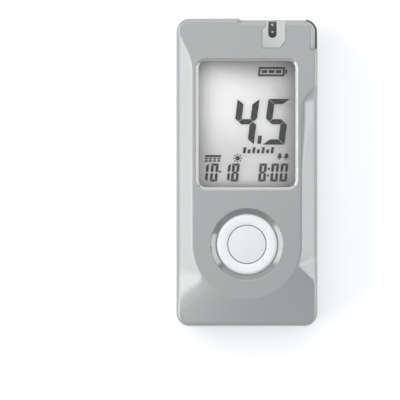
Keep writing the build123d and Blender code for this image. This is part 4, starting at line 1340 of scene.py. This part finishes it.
def sideways_mask(tree):
    """1 on faces that look sideways, 0 on faces that look up or down."""
    return remap(tree, facing(tree, "Z"), 0.5, 0.9, 1.0, 0.0)


CLEAR_GLASS, GROUND_GLASS = (0.75, 0.78, 0.77), (0.55, 0.66, 0.63)
material, tree, shader = new_material("display_glass")
ground = sideways_mask(tree)
glass_tone = blend_colours(tree, ground, CLEAR_GLASS, GROUND_GLASS)
veil = remap(tree, ground, 0.0, 1.0, 0.012, 0.55)
frost = remap(tree, ground, 0.0, 1.0, 0.15, 0.6)
dress(tree, shader, Base_Color=glass_tone, Alpha=veil, Roughness=frost)
finishes["lcd_glass"] = material
count_nodes(material)

# %% [markdown]
# The window is a flat sheet of clear acrylic. Real glass materials cast dark shadows in a path tracer
# unless light is traced through them, which is noisy. So shadow rays see a plain transparent surface
# instead, and all other rays see the glass. Its index is low, which stands for the coating that keeps the
# window from mirroring the room, and very fine wiping marks disturb its gloss.

# %% Window
COATED_IOR = 1.25
material, tree, shader = new_material("window_acrylic")
window_tone = blend_colours(tree, sideways_mask(tree), (1.0, 1.0, 1.0), (0.8, 0.86, 0.85))
dress(tree, shader, Base_Color=window_tone, Roughness=0.0, IOR=COATED_IOR, Transmission_Weight=1.0)
wiped = place_group(tree, drift_group, Size=4.0)
set_bump(tree, shader, wiped["Marks"], depth_um=0.3)
path = add(tree, "LightPath")
through = add(tree, "BsdfTransparent")
choice = {0: path.outputs["Is Shadow Ray"], 1: shader.outputs[0], 2: through.outputs[0]}
chosen = add(tree, "MixShader", choice)
tree.links.new(chosen.outputs[0], tree.nodes["Material Output"].inputs["Surface"])
finishes["clear_lens"] = material
count_nodes(material)

# %% [markdown]
# The table is a sheet of white paper, lit so strongly that it is nearly pure white. A trace of emission
# stands for the light that such a large bright sheet sends back into its own shadows.

# %% Table paper
PAPER_GREY, PAPER_WHITE = (0.915, 0.917, 0.92), (0.94, 0.942, 0.945)
material, tree, shader = new_material("table_paper")
fibres = noise(tree, position_mm(tree), scale=2.0, detail=5.0)
paper_tone = blend_colours(tree, fibres, PAPER_GREY, PAPER_WHITE)
dress(tree, shader, Base_Color=paper_tone, Roughness=0.9, Specular_IOR_Level=0.2)
dress(tree, shader, Emission_Color=(1, 1, 1, 1), Emission_Strength=0.065)
set_bump(tree, shader, fibres, depth_um=8.0)
table.data.materials.append(material)
print(len(bpy.data.materials), "materials in all")

# %% [markdown]
# ## Dressing the pieces
# Every solid of the CAD frame keeps its shape and takes the finish of its slot. A few solids have a
# finish of their own. The cover carries three: silver lacquer, the polished chamfer of the dish round the
# key, which mirrors the lights on both sides in crisp patches and whose silver is darkened as painted
# shade, and the polished frame of the window, whose silver is lightened as painted light.

# %% Hand out the finishes
OWN_FINISH = {
    "controller_chip": chip_finish, "memory_chip": chip_finish, "board_components": component_finish,
    "battery_left": left_cell, "battery_right": right_cell, "strip_connector": connector_finish,
    "button_key": key_finish_painted_shade, "strip_port_guide": guide_finish,
}
for part in frame["record"]["subparts"]:
    node = nodes[part["node"]]
    node.data.materials.clear()
    node.data.materials.append(OWN_FINISH.get(part["node"]) or finishes[part["material_slot"]])
for sheet in (front_pane, rear_pane):
    sheet.data.materials.append(finishes["lcd_glass"])
ink.data.materials.append(ink_finish)
print(len(OWN_FINISH), "pieces have a finish of their own")

# %% Give the cover its three finishes
for finish in (finishes["grey_plastic"], dish_finish_painted_shade, bezel_finish_painted_light):
    cover.data.materials.append(finish)
LACQUER, DISH, BEZEL = 0, 1, 2
EDGE_REACH = 0.03  # the chamfer's own edge counts as dish
BELOW_DISH, ABOVE_SEAT = 0.05, 0.1
polished = {DISH: 0, BEZEL: 0}
for face in cover.data.polygons:
    x, y, z = face.center / MM
    on_dish = HOLE_RADIUS < hypot(x, y - KEY_Y) < DISH_RADIUS + EDGE_REACH and z > DISH_FLOOR - BELOW_DISH
    from_window = rounded_box(x, y - WINDOW_Y, *WINDOW_HALF, WINDOW_CORNER)
    on_bezel = from_window < WINDOW_BEVEL and z > LENS_SEAT + ABOVE_SEAT
    face.material_index = DISH if on_dish else BEZEL if on_bezel else LACQUER
    if face.material_index in polished:
        polished[face.material_index] += 1
print("polished faces:", polished[DISH], "in the dish and", polished[BEZEL], "round the window")
